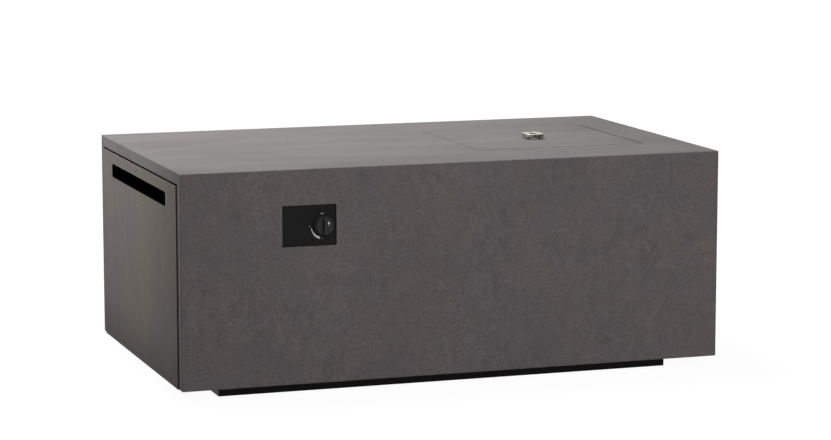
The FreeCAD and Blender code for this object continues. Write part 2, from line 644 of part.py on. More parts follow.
def drawer(screw, insert, hole, clearance):
    spots = upright_spots()
    drawer_front(copies("drawer_insert_holes", hole, spots))
    keep(copies("drawer_screw_group", screw, spots), "drawer_front_screws")
    keep(copies("drawer_insert_group", insert, spots), "drawer_front_inserts")
    rear = "drawer_inner + drawer_length"
    sides = [box("drawer_side", ("drawer_inner", y, "drawer_bottom"),
                 (rear, f"{y} + drawer_sheet", "drawer_bottom + drawer_side_height"))
             for y in ("-drawer_half", "drawer_half - drawer_sheet")]
    keep(group("drawer_side_group", sides), "drawer_sides")
    drawer_floor(rear)
    back = box("drawer_back_plate", (f"{rear} - drawer_sheet", "-drawer_inside", "floor_top"),
               (rear, "drawer_inside", "floor_top + drawer_back_height"))
    keep(back, "drawer_back")
    uprights = []
    for side in ("-1", "1"):
        angle = body("upright_angle", "drawer_inner", "0", "floor_top")
        section = sketch(angle, "upright_section", "XY_Plane")
        wide, thin = f"{side} * drawer_inside", f"{side} * (drawer_inside - tab_thickness)"
        inner = f"{side} * (drawer_inside - upright_leg)"
        outline(section, [("0", wide), ("upright_leg", wide), ("upright_leg", thin), ("tab_thickness", thin),
                          ("tab_thickness", inner), ("0", inner)])
        pad(angle, section, "upright_height")
        uprights.append(angle)
    drilled = cut("drawer_upright_pair", group("upright_pair", uprights),
                  copies("upright_holes", clearance, spots))
    keep(drilled, "drawer_uprights")
    keep(ring_rod("tank_ring_tube", ("tank_x", "0", "floor_top"), "Z", "tank_ring_radius + tank_ring_sheet",
                  "tank_ring_radius", "tank_ring_height"), "tank_ring")


def drawer_floor(rear):
    floor = body("drawer_floor", "drawer_inner", "0", "drawer_bottom")
    plan = rectangle(sketch(floor, "floor_plan", "XY_Plane"), "0", "-drawer_inside", "drawer_length",
                     "drawer_inside")
    pad(floor, plan, "drawer_sheet")
    holes = sketch(floor, "floor_vent", "XY_Plane", "drawer_sheet")
    for side in ("-1", "1"):
        circle(holes, "tank_centre - floor_vent_pitch * (floor_vent_count - 1) / 2",
               f"{side} * (drawer_inside - floor_vent_inset)", "floor_vent_radius")
    opened = pocket(floor, holes)
    rows = floor.newObject("PartDesign::LinearPattern", "floor_vents")
    rows.Originals = [opened]
    rows.Direction = (holes, ["H_Axis"])
    bind(rows, {"Length": "floor_vent_pitch * (floor_vent_count - 1)", "Occurrences": "floor_vent_count"})
    floor.Tip = rows
    keep(floor, "drawer_floor")


def channel(name, start, reach, tall, side, open_inwards):
    """A C section along the slide: its web lies at start and its flanges reach to the open side."""
    direction = "-1" if (side == "1") == open_inwards else "1"
    item = body(name, "frame_left + slide_start", "0", "slide_level")
    section = sketch(item, name + "_section", "YZ_Plane")
    web, tip = f"{side} * ({start})", f"{side} * ({start}) + {direction} * ({reach})"
    inner = f"{side} * ({start}) + {direction} * slide_sheet"
    half, inside = f"{tall} / 2", f"{tall} / 2 - slide_sheet"
    outline(section, [(web, f"-({half})"), (tip, f"-({half})"), (tip, f"-({inside})"),
                      (inner, f"-({inside})"), (inner, inside), (tip, inside), (tip, half), (web, half)])
    pad(item, section, "slide_length")
    return item


def slides():
    middle_start = "slide_face - slide_sheet - slide_play"
    middle_depth = "slide_depth - slide_sheet - slide_play - slide_side_gap"
    inner_depth = "slide_depth + slide_side_gap - 2 * slide_sheet - 2 * slide_play"
    members = {
        "slide_outer": ("slide_face", "slide_depth", "slide_height", True),
        "slide_middle": (middle_start, middle_depth, "middle_height", True),
        "slide_inner": ("drawer_half", inner_depth, "inner_height", False),
    }
    for label, (start, reach, tall, inwards) in members.items():
        pair = [channel(f"{label}_{name}", start, reach, tall, side, inwards)
                for name, side in (("front", "-1"), ("back", "1"))]
        keep(group(label + "_pair", pair), label)


def catches():
    face = "drawer_inner + strike_sheet + rest_gap"
    magnets, strikes = [], []
    for side in ("-1", "1"):
        middle = f"{side} * catch_spread"
        low = (face, f"{middle} - catch_length / 2", "high_rail_bottom - catch_height")
        high = (f"{face} + catch_depth", f"{middle} + catch_length / 2", "high_rail_bottom")
        magnets.append(box("magnet_catch", low, high))
        low = ("drawer_inner", f"{middle} - strike_length / 2", "high_rail_bottom - strike_height")
        high = ("drawer_inner + strike_sheet", f"{middle} + strike_length / 2", "high_rail_bottom")
        strikes.append(box("catch_strike", low, high))
    keep(group("magnet_group", magnets), "magnet_catches")
    keep(group("strike_group", strikes), "catch_strikes")


# Controls

def control_plate():
    plate = body("control_plate", "left + plate_left", "plate_face", "plinth_height + plate_bottom")
    face = sketch(plate, "plate_outline", "XZ_Plane")
    rectangle(face, "plate_gap", "plate_gap", "plate_width - plate_gap", "plate_height - plate_gap")
    pad(plate, face, "plate_sheet", backwards=True)
    holes = sketch(plate, "plate_holes", "XZ_Plane")
    circle(holes, "knob_across", "knob_up", "spindle_radius + spindle_hole_gap")
    for side in ("-1", "1"):
        circle(holes, f"knob_across + {side} * valve_screw_spread", "knob_up",
               "valve_screw_radius + thread_gap")
    pocket(plate, holes)
    shortest = value("plate_height") / 2
    round_edges(plate, "plate_rounding", "plate_arris", lambda centre, span: near(centre.y, 0)
                and max(span) > shortest)
    keep(plate, "control_plate")


def control_box():
    low_x, high_x = "left + plate_left + plate_gap", "left + plate_left + plate_width - plate_gap"
    low_z = "plinth_height + plate_bottom + plate_gap"
    high_z = "plinth_height + plate_bottom + plate_height - plate_gap"
    inner_low = (f"{low_x} + box_sheet", "plate_back", f"{low_z} + box_sheet")
    inner_high = (f"{high_x} - box_sheet", "inner_front + tab_thickness", f"{high_z} - box_sheet")
    sleeve = box("box_sleeve", (low_x, "plate_back", low_z), (high_x, "inner_front + tab_thickness", high_z))
    flange_low = ("left + plate_left - box_flange", "inner_front",
                  "plinth_height + plate_bottom - box_flange / 2")
    flange_high = ("left + plate_left + plate_width + box_flange", "inner_front + tab_thickness",
                   "plinth_height + plate_bottom + plate_height + box_flange / 2")
    flange = box("box_flange_plate", flange_low, flange_high)
    whole = fuse("box_outside", [sleeve, flange])
    screw_holes = [rod("box_screw_hole", (x, "inner_front", z), "Y", "screw_radius + thread_gap",
                       "tab_thickness") for x, y, z, turn in box_spots()]
    empty = group("box_openings", [box("box_inside", inner_low, inner_high)] + screw_holes)
    keep(cut("control_box_tray", whole, empty), "control_box")


def dee(name, start, radius, flat, length, extra="0"):
    """A D-shaped bar along +Y: a rod with one flat on top."""
    x, y, z = start
    bar = rod(name + "_bar", start, "Y", f"{radius} + {extra}", length)
    size = f"({radius} + {extra})"
    keeping = box(name + "_keeping", (f"{x} - {size}", y, f"{z} - {size}"),
                  (f"{x} + {size}", f"{y} + {length}", f"{z} + {flat} + {extra}"))
    return common(name, [bar, keeping])


def control_knob():
    knob = body("knob_moulding", "knob_x", "knob_back", "knob_z", "-Y")
    half = sketch(knob, "knob_half", "XZ_Plane")
    outline(half, [("0", "0"), ("knob_radius", "0"), ("knob_radius", "knob_edge"),
                   ("knob_face_radius", "knob_body"), ("0", "knob_body")])
    revolve(knob, half)
    grip = sketch(knob, "knob_grip", "XY_Plane", "knob_body / 2")
    rectangle(grip, "-grip_width / 2", "-grip_length / 2", "grip_width / 2", "grip_length / 2")
    pad(knob, grip, "grip_rise + knob_body / 2")
    top = value("knob_body + grip_rise")
    round_edges(knob, "grip_rounding", "grip_round", lambda centre, span: near(centre.z, top))
    edge = value("knob_edge")
    round_edges(knob, "knob_skirt_rounding", "knob_chamfer", lambda centre, span: near(centre.z, edge)
                and max(span) > value("knob_radius"))
    bore = dee("knob_bore", ("knob_x", "knob_back - spindle_in_knob", "knob_z"), "spindle_radius",
               "spindle_flat", "spindle_in_knob + overrun", "running_gap")
    keep(cut("control_knob", knob, bore), "control_knob")


def valve():
    axis_start = ("knob_x", "plate_back", "knob_z")
    low_z, high_z = "knob_z - valve_tall / 2", "knob_z + valve_tall / 2"
    neck = rod("valve_neck", axis_start, "Y", "valve_neck_radius", "block_front - plate_back")
    flange_low = ("knob_x - valve_flange_width / 2", "plate_back", "knob_z - valve_flange_height / 2")
    flange_high = ("knob_x + valve_flange_width / 2", "plate_back + valve_flange_sheet",
                   "knob_z + valve_flange_height / 2")
    flange = box("valve_flange", flange_low, flange_high)
    block = box("valve_block", ("knob_x - valve_width / 2", "block_front", low_z),
                ("knob_x + valve_width / 2", "block_back", high_z))
    bore = rod("valve_bore", axis_start, "Y", "spindle_radius + running_gap", "bore_end - plate_back")
    holes = [rod("valve_flange_hole", (f"knob_x + {side} * valve_screw_spread", "plate_back", "knob_z"), "Y",
                 "valve_screw_radius + thread_gap", "valve_flange_sheet") for side in ("-1", "1")]
    casting = fuse("valve_outside", [neck, flange, block])
    keep(cut("valve_casting", casting, group("valve_holes", [bore] + holes)), "valve_body")
    screws = []
    for side in ("-1", "1"):
        x = f"knob_x + {side} * valve_screw_spread"
        shank = rod("valve_screw_shank", (x, "plate_face", "knob_z"), "Y", "valve_screw_radius",
                    "plate_sheet + valve_flange_sheet")
        head = rod("valve_screw_head", (x, "plate_back + valve_flange_sheet", "knob_z"), "Y",
                   "valve_screw_head_radius", "valve_screw_head_height")
        screws.append(fuse("valve_screw", [shank, head]))
    keep(group("valve_screw_group", screws), "valve_screws")
    spindle = rod("spindle_round", ("knob_x", "knob_back + overrun", "knob_z"), "Y", "spindle_radius",
                  "spindle_end - knob_back - overrun")
    tip = dee("spindle_tip", ("knob_x", "knob_back + rest_gap - spindle_in_knob", "knob_z"),
              "spindle_radius", "spindle_flat", "spindle_in_knob - rest_gap + overrun")
    keep(fuse("spindle_whole", [spindle, tip]), "valve_spindle")
    keep(rod("plunger_pin", ("knob_x", "spindle_end", "knob_z"), "Y", "spindle_radius",
             "bore_end - spindle_end - push_travel - rest_gap"), "valve_plunger")


def fitting(name, x, along, thread_radius, thread_length):
    """A hexagon with a threaded nose, bored through."""
    sign = "-1" if along.startswith("-") else "1"
    start = (x, "fitting_y", "knob_z")
    nose_start = (f"{x} + {sign} * hex_length", "fitting_y", "knob_z")
    whole = fuse(name + "_outside", [hexagon(name + "_hex", start, along, "hex_radius", "hex_length"),
                                     rod(name + "_nose", nose_start, along, thread_radius, thread_length)])
    bore = rod(name + "_bore", start, along, "inlet_bore_radius", f"hex_length + {thread_length}")
    return cut(name, whole, bore)


def pipe_route(points, bends):
    """Straight runs joined by tangent arcs: one bend radius for each inner point."""
    edges, here = [], points[0]
    for before, corner, after, radius in zip(points, points[1:], points[2:], bends):
        a, b = (before - corner).normalize(), (after - corner).normalize()
        turn = math.pi - a.getAngle(b)
        if turn < STRAIGHT:
            continue
        reach = radius * math.tan(turn / 2)
        start, end = corner + a * reach, corner + b * reach
        centre = corner + (a + b).normalize() * (radius / math.cos(turn / 2))
        middle = centre + (corner - centre).normalize() * radius
        edges += [Part.LineSegment(here, start).toShape(), Part.Arc(start, middle, end).toShape()]
        print(f"bend of {math.degrees(turn):.1f} degrees at radius {radius:.1f}")
        here = end
    return Part.Wire(edges + [Part.LineSegment(here, points[-1]).toShape()])


def swept(wire, radius, along):
    ring = Part.Wire(Part.Circle(wire.Vertexes[0].Point, along, radius).toShape())
    solid = wire.makePipeShell([ring], True, False)
    expected = math.pi * radius ** 2 * wire.Length
    if abs(solid.Volume / expected - 1) > 0.01:
        raise ValueError("a swept tube has the wrong volume")
    return solid


def shape_part(label, shape):
    item = doc.addObject("Part::Feature", label)
    item.Shape = shape
    return keep(item, label)


def soft_bend(first, second):
    """The largest radius that two runs leave room for at the corner between them."""
    turn = first.getAngle(second)
    room = value("bend_share") * min(first.Length, second.Length)
    return room / math.tan(turn / 2) if turn > STRAIGHT else 0


def gas_tube():
    valve_x, end_x = value("knob_x + valve_width / 2 + hex_length"), value("lid_x")
    y, z, end_z = value("fitting_y"), value("knob_z"), value("mixer_z")
    points = [Vector(valve_x, y, z), Vector(valve_x + value("tube_lead"), y, z),
              Vector(end_x, y, end_z), Vector(end_x, value("tube_end_y"), end_z)]
    gentle = soft_bend(points[1] - points[0], points[2] - points[1])
    wire = pipe_route(points, [gentle, value("tube_bend")])
    along = points[1] - points[0]
    outer = swept(wire, value("tube_radius"), along)
    shape_part("gas_tube", outer.cut(swept(wire, value("tube_bore_radius"), along)))


def lead(label, side, radius):
    """A thin lead from the pilot, down through the pan and along the gas tube to the valve."""
    x, y = value(f"hood_x + {side} * pilot_split"), value("hood_y")
    top, level = value("pan_bottom - lead_drop"), value(f"knob_z + {side} * lead_split")
    landing, valve_x = value("mid_left + tube + lead_landing"), value(f"knob_x + {side} * lead_split")
    points = [Vector(x, y, top), Vector(x, y, level), Vector(landing, value("lead_y"), level),
              Vector(valve_x, value("lead_y"), level), Vector(valve_x, value("block_back"), level)]
    tight = value("bend_share") * min((b - a).Length for a, b in zip(points, points[1:]))
    wire = pipe_route(points, [min(value("lead_bend"), tight)] * 3)
    shape_part(label, swept(wire, radius, points[1] - points[0]))


# Burner

def burner_pan():
    low, high = ("lid_x - pan_x", "-pan_y", "pan_bottom"), ("lid_x + pan_x", "pan_y", "slab_bottom")
    flange = box("pan_flange", ("lid_x - flange_x", "-flange_y", "slab_bottom"),
                 ("lid_x + flange_x", "flange_y", "flange_top"))
    inside = box("pan_inside", ("lid_x - pan_x + pan_sheet", "-pan_y + pan_sheet", "pan_floor"),
                 ("lid_x + pan_x - pan_sheet", "pan_y - pan_sheet", "flange_top"))
    holes = [rod("riser_hole", ("lid_x", "0", "pan_bottom"), "Z", "riser_radius + thread_gap", "pan_sheet"),
             rod("pilot_hole", ("hood_x", "hood_y", "pan_bottom"), "Z", "pilot_hole_radius", "pan_sheet")]
    for x in ("lid_x - ledge_x / 2", "lid_x + ledge_x / 2"):
        for y in ("-ledge_y / 2", "ledge_y / 2"):
            holes.append(rod("drain_hole", (x, y, "pan_bottom"), "Z", "drain_radius", "pan_sheet"))
    whole = fuse("pan_outside", [box("pan_bowl", low, high), flange])
    keep(cut("pan_pressing", whole, group("pan_openings", [inside] + holes)), "burner_pan")


def torus(name, centre, ring, thickness):
    item = place(doc.addObject("Part::Torus", name), *centre)
    return bind(item, {"Radius1": ring, "Radius2": thickness})


def burner_form(name, shrink):
    """Hub, four arms and ring, drawn with every wall set in by a formula."""
    middle = ("lid_x", "0", "ring_z")
    pieces = [rod(name + "_hub", ("lid_x", "0", f"hub_bottom + {shrink}"), "Z",
                  f"hub_radius - {shrink}", f"hub_height - 2 * {shrink}"),
              torus(name + "_ring", middle, "ring_radius", f"ring_tube_radius - {shrink}")]
    for along in ("X", "-X", "Y", "-Y"):
        pieces.append(rod(name + "_arm", middle, along, f"arm_radius - {shrink}", "ring_radius"))
    return fuse(name, pieces)


def burner():
    outside = burner_form("burner_outside", "0")
    ports = []
    for index in range(int(value("port_count"))):
        angle = f"{index} * 360 deg / port_count"
        ports.append(rod("burner_port", (f"lid_x + ring_radius * cos({angle})", f"ring_radius * sin({angle})",
                                         "ring_z"), "Z", "port_radius", "ring_tube_radius * 2"))
    inlet = rod("burner_inlet", ("lid_x", "0", "hub_bottom"), "Z", "riser_bore_radius", "ring_wall * 2")
    empty = group("burner_empty", [burner_form("burner_inside", "ring_wall"), inlet] + ports)
    keep(cut("burner_weldment", outside, empty), "burner_ring")
    riser = ring_rod("riser_pipe", ("lid_x", "0", "mixer_z + elbow_bend"), "Z", "riser_radius",
                     "riser_bore_radius", "hub_bottom - mixer_z - elbow_bend")
    keep(riser, "burner_riser")
    nuts = []
    for start in ("pan_floor", "pan_bottom - locknut_height"):
        nut = hexagon("locknut_hex", ("lid_x", "0", start), "Z", "locknut_radius", "locknut_height")
        bore = rod("locknut_bore", ("lid_x", "0", start), "Z", "riser_radius + thread_gap", "locknut_height")
        nuts.append(cut("locknut", nut, bore))
    keep(group("locknut_pair", nuts), "burner_locknuts")
    return outside


def elbow_form(name, radius):
    item = doc.addObject("Part::Torus", name)
    item.Placement = Placement(Vector(), Rotation(Vector(0, 1, 0), Vector(0, 0, -1), Vector(-1, 0, 0), "ZXY"))
    item.Angle3 = 90
    bind(item, {"Placement.Base.x": "lid_x", "Placement.Base.y": "-elbow_bend",
                "Placement.Base.z": "mixer_z + elbow_bend"})
    return bind(item, {"Radius1": "elbow_bend", "Radius2": radius})


def mixer():
    keep(cut("elbow_casting", elbow_form("elbow_outside", "elbow_radius"),
             elbow_form("elbow_inside", "riser_bore_radius")), "burner_elbow")
    start = ("lid_x", "-elbow_bend", "mixer_z")
    pipe = ring_rod("mixer_pipe", start, "-Y", "mixer_radius", "riser_bore_radius", "mixer_length")
    low = ("lid_x - mixer_radius * 2", "mixer_front + mixer_window", "mixer_z - mixer_window / 2")
    high = ("lid_x + mixer_radius * 2", "mixer_front + mixer_window + mixer_window_length",
            "mixer_z + mixer_window / 2")
    keep(cut("mixer_body", pipe, box("mixer_window_cut", low, high)), "air_mixer")
    holder = ring_rod("orifice_turning", ("lid_x", "mixer_front", "mixer_z"), "-Y", "orifice_radius",
                      "orifice_bore_radius", "orifice_length")
    keep(holder, "orifice_holder")


def pilot():
    low = ("hood_x - hood_length / 2", "hood_y - hood_width / 2", "pan_floor")
    high = ("hood_x + hood_length / 2", "hood_y + hood_width / 2", "media_top + hood_rise")
    inside = box("hood_inside", (f"{low[0]} + hood_sheet", f"{low[1]} + hood_sheet", low[2]),
                 (f"{high[0]} - hood_sheet", f"{high[1]} - hood_sheet", f"{high[2]} - hood_sheet"))
    window_low = ("hood_x - hood_window_length / 2", f"{low[1]} - overrun",
                  "pan_floor + hood_window_level")
    window_high = ("hood_x + hood_window_length / 2", f"{high[1]} + overrun",
                   "pan_floor + hood_window_level + hood_window_height")
    openings = group("hood_openings", [inside, box("hood_window", window_low, window_high)])
    keep(cut("hood_cover", box("hood_outside", low, high), openings), "pilot_hood")
    plate = box("pilot_plate", ("hood_x - pilot_length / 2", "hood_y - pilot_width / 2", "pan_floor"),
                ("hood_x + pilot_length / 2", "hood_y + pilot_width / 2", "pan_floor + pilot_sheet"))
    spark_x, sense_x = "hood_x + pilot_split", "hood_x - pilot_split"
    start = "pan_bottom - lead_drop"
    holes = [rod("spark_hole", (spark_x, "hood_y", "pan_floor"), "Z", "ceramic_radius", "pilot_sheet"),
             rod("sense_hole", (sense_x, "hood_y", "pan_floor"), "Z", "probe_radius", "pilot_sheet")]
    keep(cut("pilot_bracket_plate", plate, group("pilot_holes", holes)), "pilot_bracket")
    ceramic = rod("spark_ceramic", (spark_x, "hood_y", start), "Z", "ceramic_radius",
                  "pan_floor + ceramic_height - (pan_bottom - lead_drop)")
    wire = rod("spark_wire", (spark_x, "hood_y", "pan_floor + ceramic_height"), "Z", "spark_wire_radius",
               "spark_wire_height")
    keep(fuse("spark_electrode", [ceramic, wire]), "igniter_electrode")
    keep(rod("sensor_probe", (sense_x, "hood_y", start), "Z", "probe_radius",
             "pan_floor + probe_height - (pan_bottom - lead_drop)"), "thermocouple")
    return box("hood_space", low, high)


def fire_media(burner_outside, hood_space):
    low = ("lid_x - pan_x + pan_sheet + media_edge", "-pan_y + pan_sheet + media_edge", "pan_floor")
    high = ("lid_x + pan_x - pan_sheet - media_edge", "pan_y - pan_sheet - media_edge", "media_top")
    bed = box("media_bed", low, high)
    riser = rod("media_riser_space", ("lid_x", "0", "pan_floor"), "Z", "locknut_radius",
                "hub_lift + overrun")
    keep(cut("lava_bed", bed, group("media_spaces", [burner_outside, hood_space, riser])), "fire_media")


# Lid

def lid():
    panel = body("lid_cast", "lid_middle - lid_length / 2", "lid_back - lid_depth / 2", "lid_bottom")
    plan = rectangle(sketch(panel, "lid_plan", "XY_Plane"), "0", "0", "lid_length", "lid_depth")
    pad(panel, plan, "lid_thickness")
    round_edges(panel, "lid_arris", "lid_lip", lambda centre, span: True)
    keep(cut("lid_drilled", panel, group("lid_holes", [lid_hole(side) for side in ("-1", "1")])), "lid_panel")
    bumpers = []
    middle_x, middle_y = "(pan_x + flange_x) / 2", "(pan_y + flange_y) / 2"
    for x in ("-1", "1"):
        for y in ("-1", "1"):
            seat = (f"lid_middle + {x} * {middle_x}", f"lid_back + {y} * {middle_y}", "flange_top + rest_gap")
            bumpers.append(rod("lid_bumper", seat, "Z", "bumper_radius",
                               "lid_bottom - flange_top - rest_gap"))
    keep(group("lid_bumper_group", bumpers), "lid_bumpers")


def foot_spot(side):
    """Where one foot of the handle stands on the lid."""
    return (f"handle_x + {side} * handle_foot_spacing / 2", "handle_y")


def lid_hole(side):
    x, y = foot_spot(side)
    shank = rod("lid_hole_shank", (x, y, "lid_bottom"), "Z", "lid_screw_radius + thread_gap",
                "lid_thickness")
    head = rod("lid_hole_head", (x, y, "lid_bottom"), "Z", "lid_counterbore_radius",
               "lid_counterbore_depth")
    return fuse("lid_hole", [shank, head])


def lid_handle():
    loop = body("handle_casting", "handle_x", "handle_y", "lid_top + handle_rise")
    plan = sketch(loop, "handle_plan", "XY_Plane")
    rectangle(plan, "-handle_length / 2", "-handle_depth / 2", "handle_length / 2", "handle_depth / 2")
    pad(loop, plan, "handle_thickness")
    upright = value("handle_thickness")
    inner_half = value("handle_length / 2 - handle_band")
    round_edges(loop, "handle_corners", "handle_corner", lambda centre, span: near(span[2], upright))
    gap = sketch(loop, "handle_gap", "XY_Plane", "handle_thickness")
    rectangle(gap, "-handle_length / 2 + handle_band", "-handle_depth / 2 + handle_band",
              "handle_length / 2 - handle_band", "handle_depth / 2 - handle_band")
    pocket(loop, gap)
    round_edges(loop, "handle_gap_corners", "handle_inner_corner", lambda centre, span: near(span[2], upright)
                and near(span[0], 0) and near(span[1], 0) and abs(centre.x) < inner_half + CLOSE)
    round_edges(loop, "handle_rounding", "handle_round", lambda centre, span: near(span[2], 0))
    feet, holes, screws = [], [], []
    for side in ("-1", "1"):
        x, y = foot_spot(side)
        feet.append(rod("handle_foot", (x, y, "lid_top"), "Z", "handle_foot_radius",
                        "handle_rise + handle_thickness / 2"))
        holes.append(rod("handle_foot_hole", (x, y, "lid_top"), "Z", "lid_screw_radius + thread_gap",
                         "lid_screw_bite + rest_gap"))
        seat = "lid_bottom + lid_counterbore_depth"
        shank = rod("lid_screw_shank", (x, y, seat), "Z", "lid_screw_radius",
                    f"lid_top - ({seat}) + lid_screw_bite")
        head = rod("lid_screw_head", (x, y, f"{seat} - lid_screw_head_height"), "Z", "lid_screw_head_radius",
                   "lid_screw_head_height")
        screws.append(fuse("lid_screw", [shank, head]))
    whole = fuse("handle_whole", [loop] + feet)
    keep(cut("handle_drilled", whole, group("handle_holes", holes)), "lid_handle")
    keep(group("lid_screw_group", screws), "lid_handle_screws")


masters = shell_and_fasteners()
plinth()
base_plate()
frame()
burner_rails()
slide_rails()
partition()
drawer(*masters)
slides()
catches()
control_plate()
control_box()
control_knob()
valve()
keep(fitting("inlet_fitting", "knob_x - valve_width / 2", "-X", "inlet_thread_radius", "inlet_thread_length"),
     "valve_inlet")
keep(hexagon("outlet_nut", ("knob_x + valve_width / 2", "fitting_y", "knob_z"), "X", "hex_radius",
             "hex_length"), "valve_outlet")
gas_tube()
lead("thermocouple_lead", "-1", value("sense_radius"))
lead("igniter_lead", "1", value("spark_radius"))
burner_pan()
media_burner = burner()
mixer()
fire_media(media_burner, pilot())
lid()
lid_handle()

# Every object has to be sound before anything is written
doc.recompute()
for item in doc.Objects:
    if "Invalid" in item.State or "Error" in item.State:
        raise RuntimeError(f"{item.Label} failed: {item.State}")
for item in kept:
    if item.Shape.isNull() or not item.Shape.isValid() or not item.Shape.Solids:
        raise RuntimeError(f"{item.Label} has no sound solid")
os.makedirs("parts", exist_ok=True)
for item in kept:
    item.Shape.exportStep(os.path.join("parts", item.Label + ".step"))
    bounds = item.Shape.BoundBox
    print(f"{item.Label}: {len(item.Shape.Solids)} solids, {item.Shape.Volume / 1000:.1f} cm3, "
          f"x {bounds.XMin:.1f} {bounds.XMax:.1f}, y {bounds.YMin:.1f} {bounds.YMax:.1f}, "
          f"z {bounds.ZMin:.1f} {bounds.ZMax:.1f}")
print(f"{len(kept)} sub-parts")
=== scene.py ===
import bpy
import json
import math
import numpy as np
from mathutils import Euler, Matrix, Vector


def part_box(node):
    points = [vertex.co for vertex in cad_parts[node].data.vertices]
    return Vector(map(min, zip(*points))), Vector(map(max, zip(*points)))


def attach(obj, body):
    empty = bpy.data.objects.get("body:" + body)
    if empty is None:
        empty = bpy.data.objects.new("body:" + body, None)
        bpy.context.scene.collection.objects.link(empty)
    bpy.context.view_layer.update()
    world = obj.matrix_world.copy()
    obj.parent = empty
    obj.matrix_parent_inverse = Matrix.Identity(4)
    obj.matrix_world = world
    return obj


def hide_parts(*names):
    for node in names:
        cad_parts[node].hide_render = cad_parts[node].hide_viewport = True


# A low gas fire table cast in concrete, with a flush lid over its burner and a drawer for the cylinder.
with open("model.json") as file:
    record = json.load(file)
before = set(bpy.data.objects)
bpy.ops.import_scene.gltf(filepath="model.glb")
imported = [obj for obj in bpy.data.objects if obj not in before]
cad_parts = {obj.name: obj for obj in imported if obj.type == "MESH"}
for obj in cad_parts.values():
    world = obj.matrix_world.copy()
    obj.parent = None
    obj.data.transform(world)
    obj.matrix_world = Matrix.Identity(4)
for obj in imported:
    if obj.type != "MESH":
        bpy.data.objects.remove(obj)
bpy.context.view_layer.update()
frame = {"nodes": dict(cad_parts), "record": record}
mm = 0.001

# The camera stands left of the front and a little above the top, with a long lens.
camera = {"place": (-2.542, -7.529, 1.581), "yawRight": 18.91, "pitchDown": 8.53, "lens": 123.2, "sees": 100}


def makeCamera():
    data = bpy.data.cameras.new("camera")
    data.lens = camera["lens"]
    data.clip_end = camera["sees"]
    viewer = bpy.data.objects.new("camera", data)
    viewer.location = camera["place"]
    tilt = math.radians(90 - camera["pitchDown"])
    viewer.rotation_euler = Euler((tilt, 0, -math.radians(camera["yawRight"])))
    bpy.context.scene.collection.objects.link(viewer)
    bpy.context.scene.camera = viewer


makeCamera()
bpy.context.scene.view_settings.view_transform = "Standard"


def hexColour(text):
    # Each sRGB byte is turned to linear light: below 0.04045 it is divided, above it follows the 2.4 power.
    parts = [int(text[i:i + 2], 16) / 255 for i in (1, 3, 5)]
    return tuple(c / 12.92 if c <= 0.04045 else ((c + 0.055) / 1.055) ** 2.4 for c in parts) + (1.0,)


def addNode(tree, kind, inputs=(), out=0, **settings):
    # Adds one node with its own settings. Its inputs, in order or by name, are values, hex colours or outputs
    # of other nodes. It gives back the output that out names, or all of them for None.
    node = tree.nodes.new("ShaderNode" + kind)
    for name, value in settings.items():
        setattr(node, name, value)
    for socket, value in (inputs.items() if isinstance(inputs, dict) else enumerate(inputs)):
        if isinstance(value, bpy.types.NodeSocket):
            tree.links.new(value, node.inputs[socket])
        else:
            node.inputs[socket].default_value = hexColour(value) if isinstance(value, str) else value
    return node.outputs if out is None else node.outputs[out]


# The Mix node keeps its colour sockets after its number sockets.
numberA, numberB, colourA, colourB, mixedColour = 2, 3, 6, 7, 2
usual = (0.3, 0.7)  # noise seldom leaves this range


def startMaterial(name, sockets):
    material = bpy.data.materials.new(name)
    material.use_nodes = True
    tree = material.node_tree
    shader = tree.nodes["Principled BSDF"]
    for socket, value in sockets.items():
        shader.inputs[socket].default_value = value
    return material, tree, shader, addNode(tree, "TexCoord", out="Object")


def finishShader(tree, shader, colour, roughness, bumps):
    # Joins the colour and roughness to the shader, and stacks the bumps, each a pattern with its height in
    # millimetres.
    tree.links.new(colour, shader.inputs["Base Color"])
    tree.links.new(roughness, shader.inputs["Roughness"])
    normal = None
    for height, depthMm in bumps:
        inputs = {"Height": height, "Distance": depthMm * mm, "Strength": 1.0}
        if normal:
            inputs["Normal"] = normal
        normal = addNode(tree, "Bump", inputs)
    if normal:
        tree.links.new(normal, shader.inputs["Normal"])


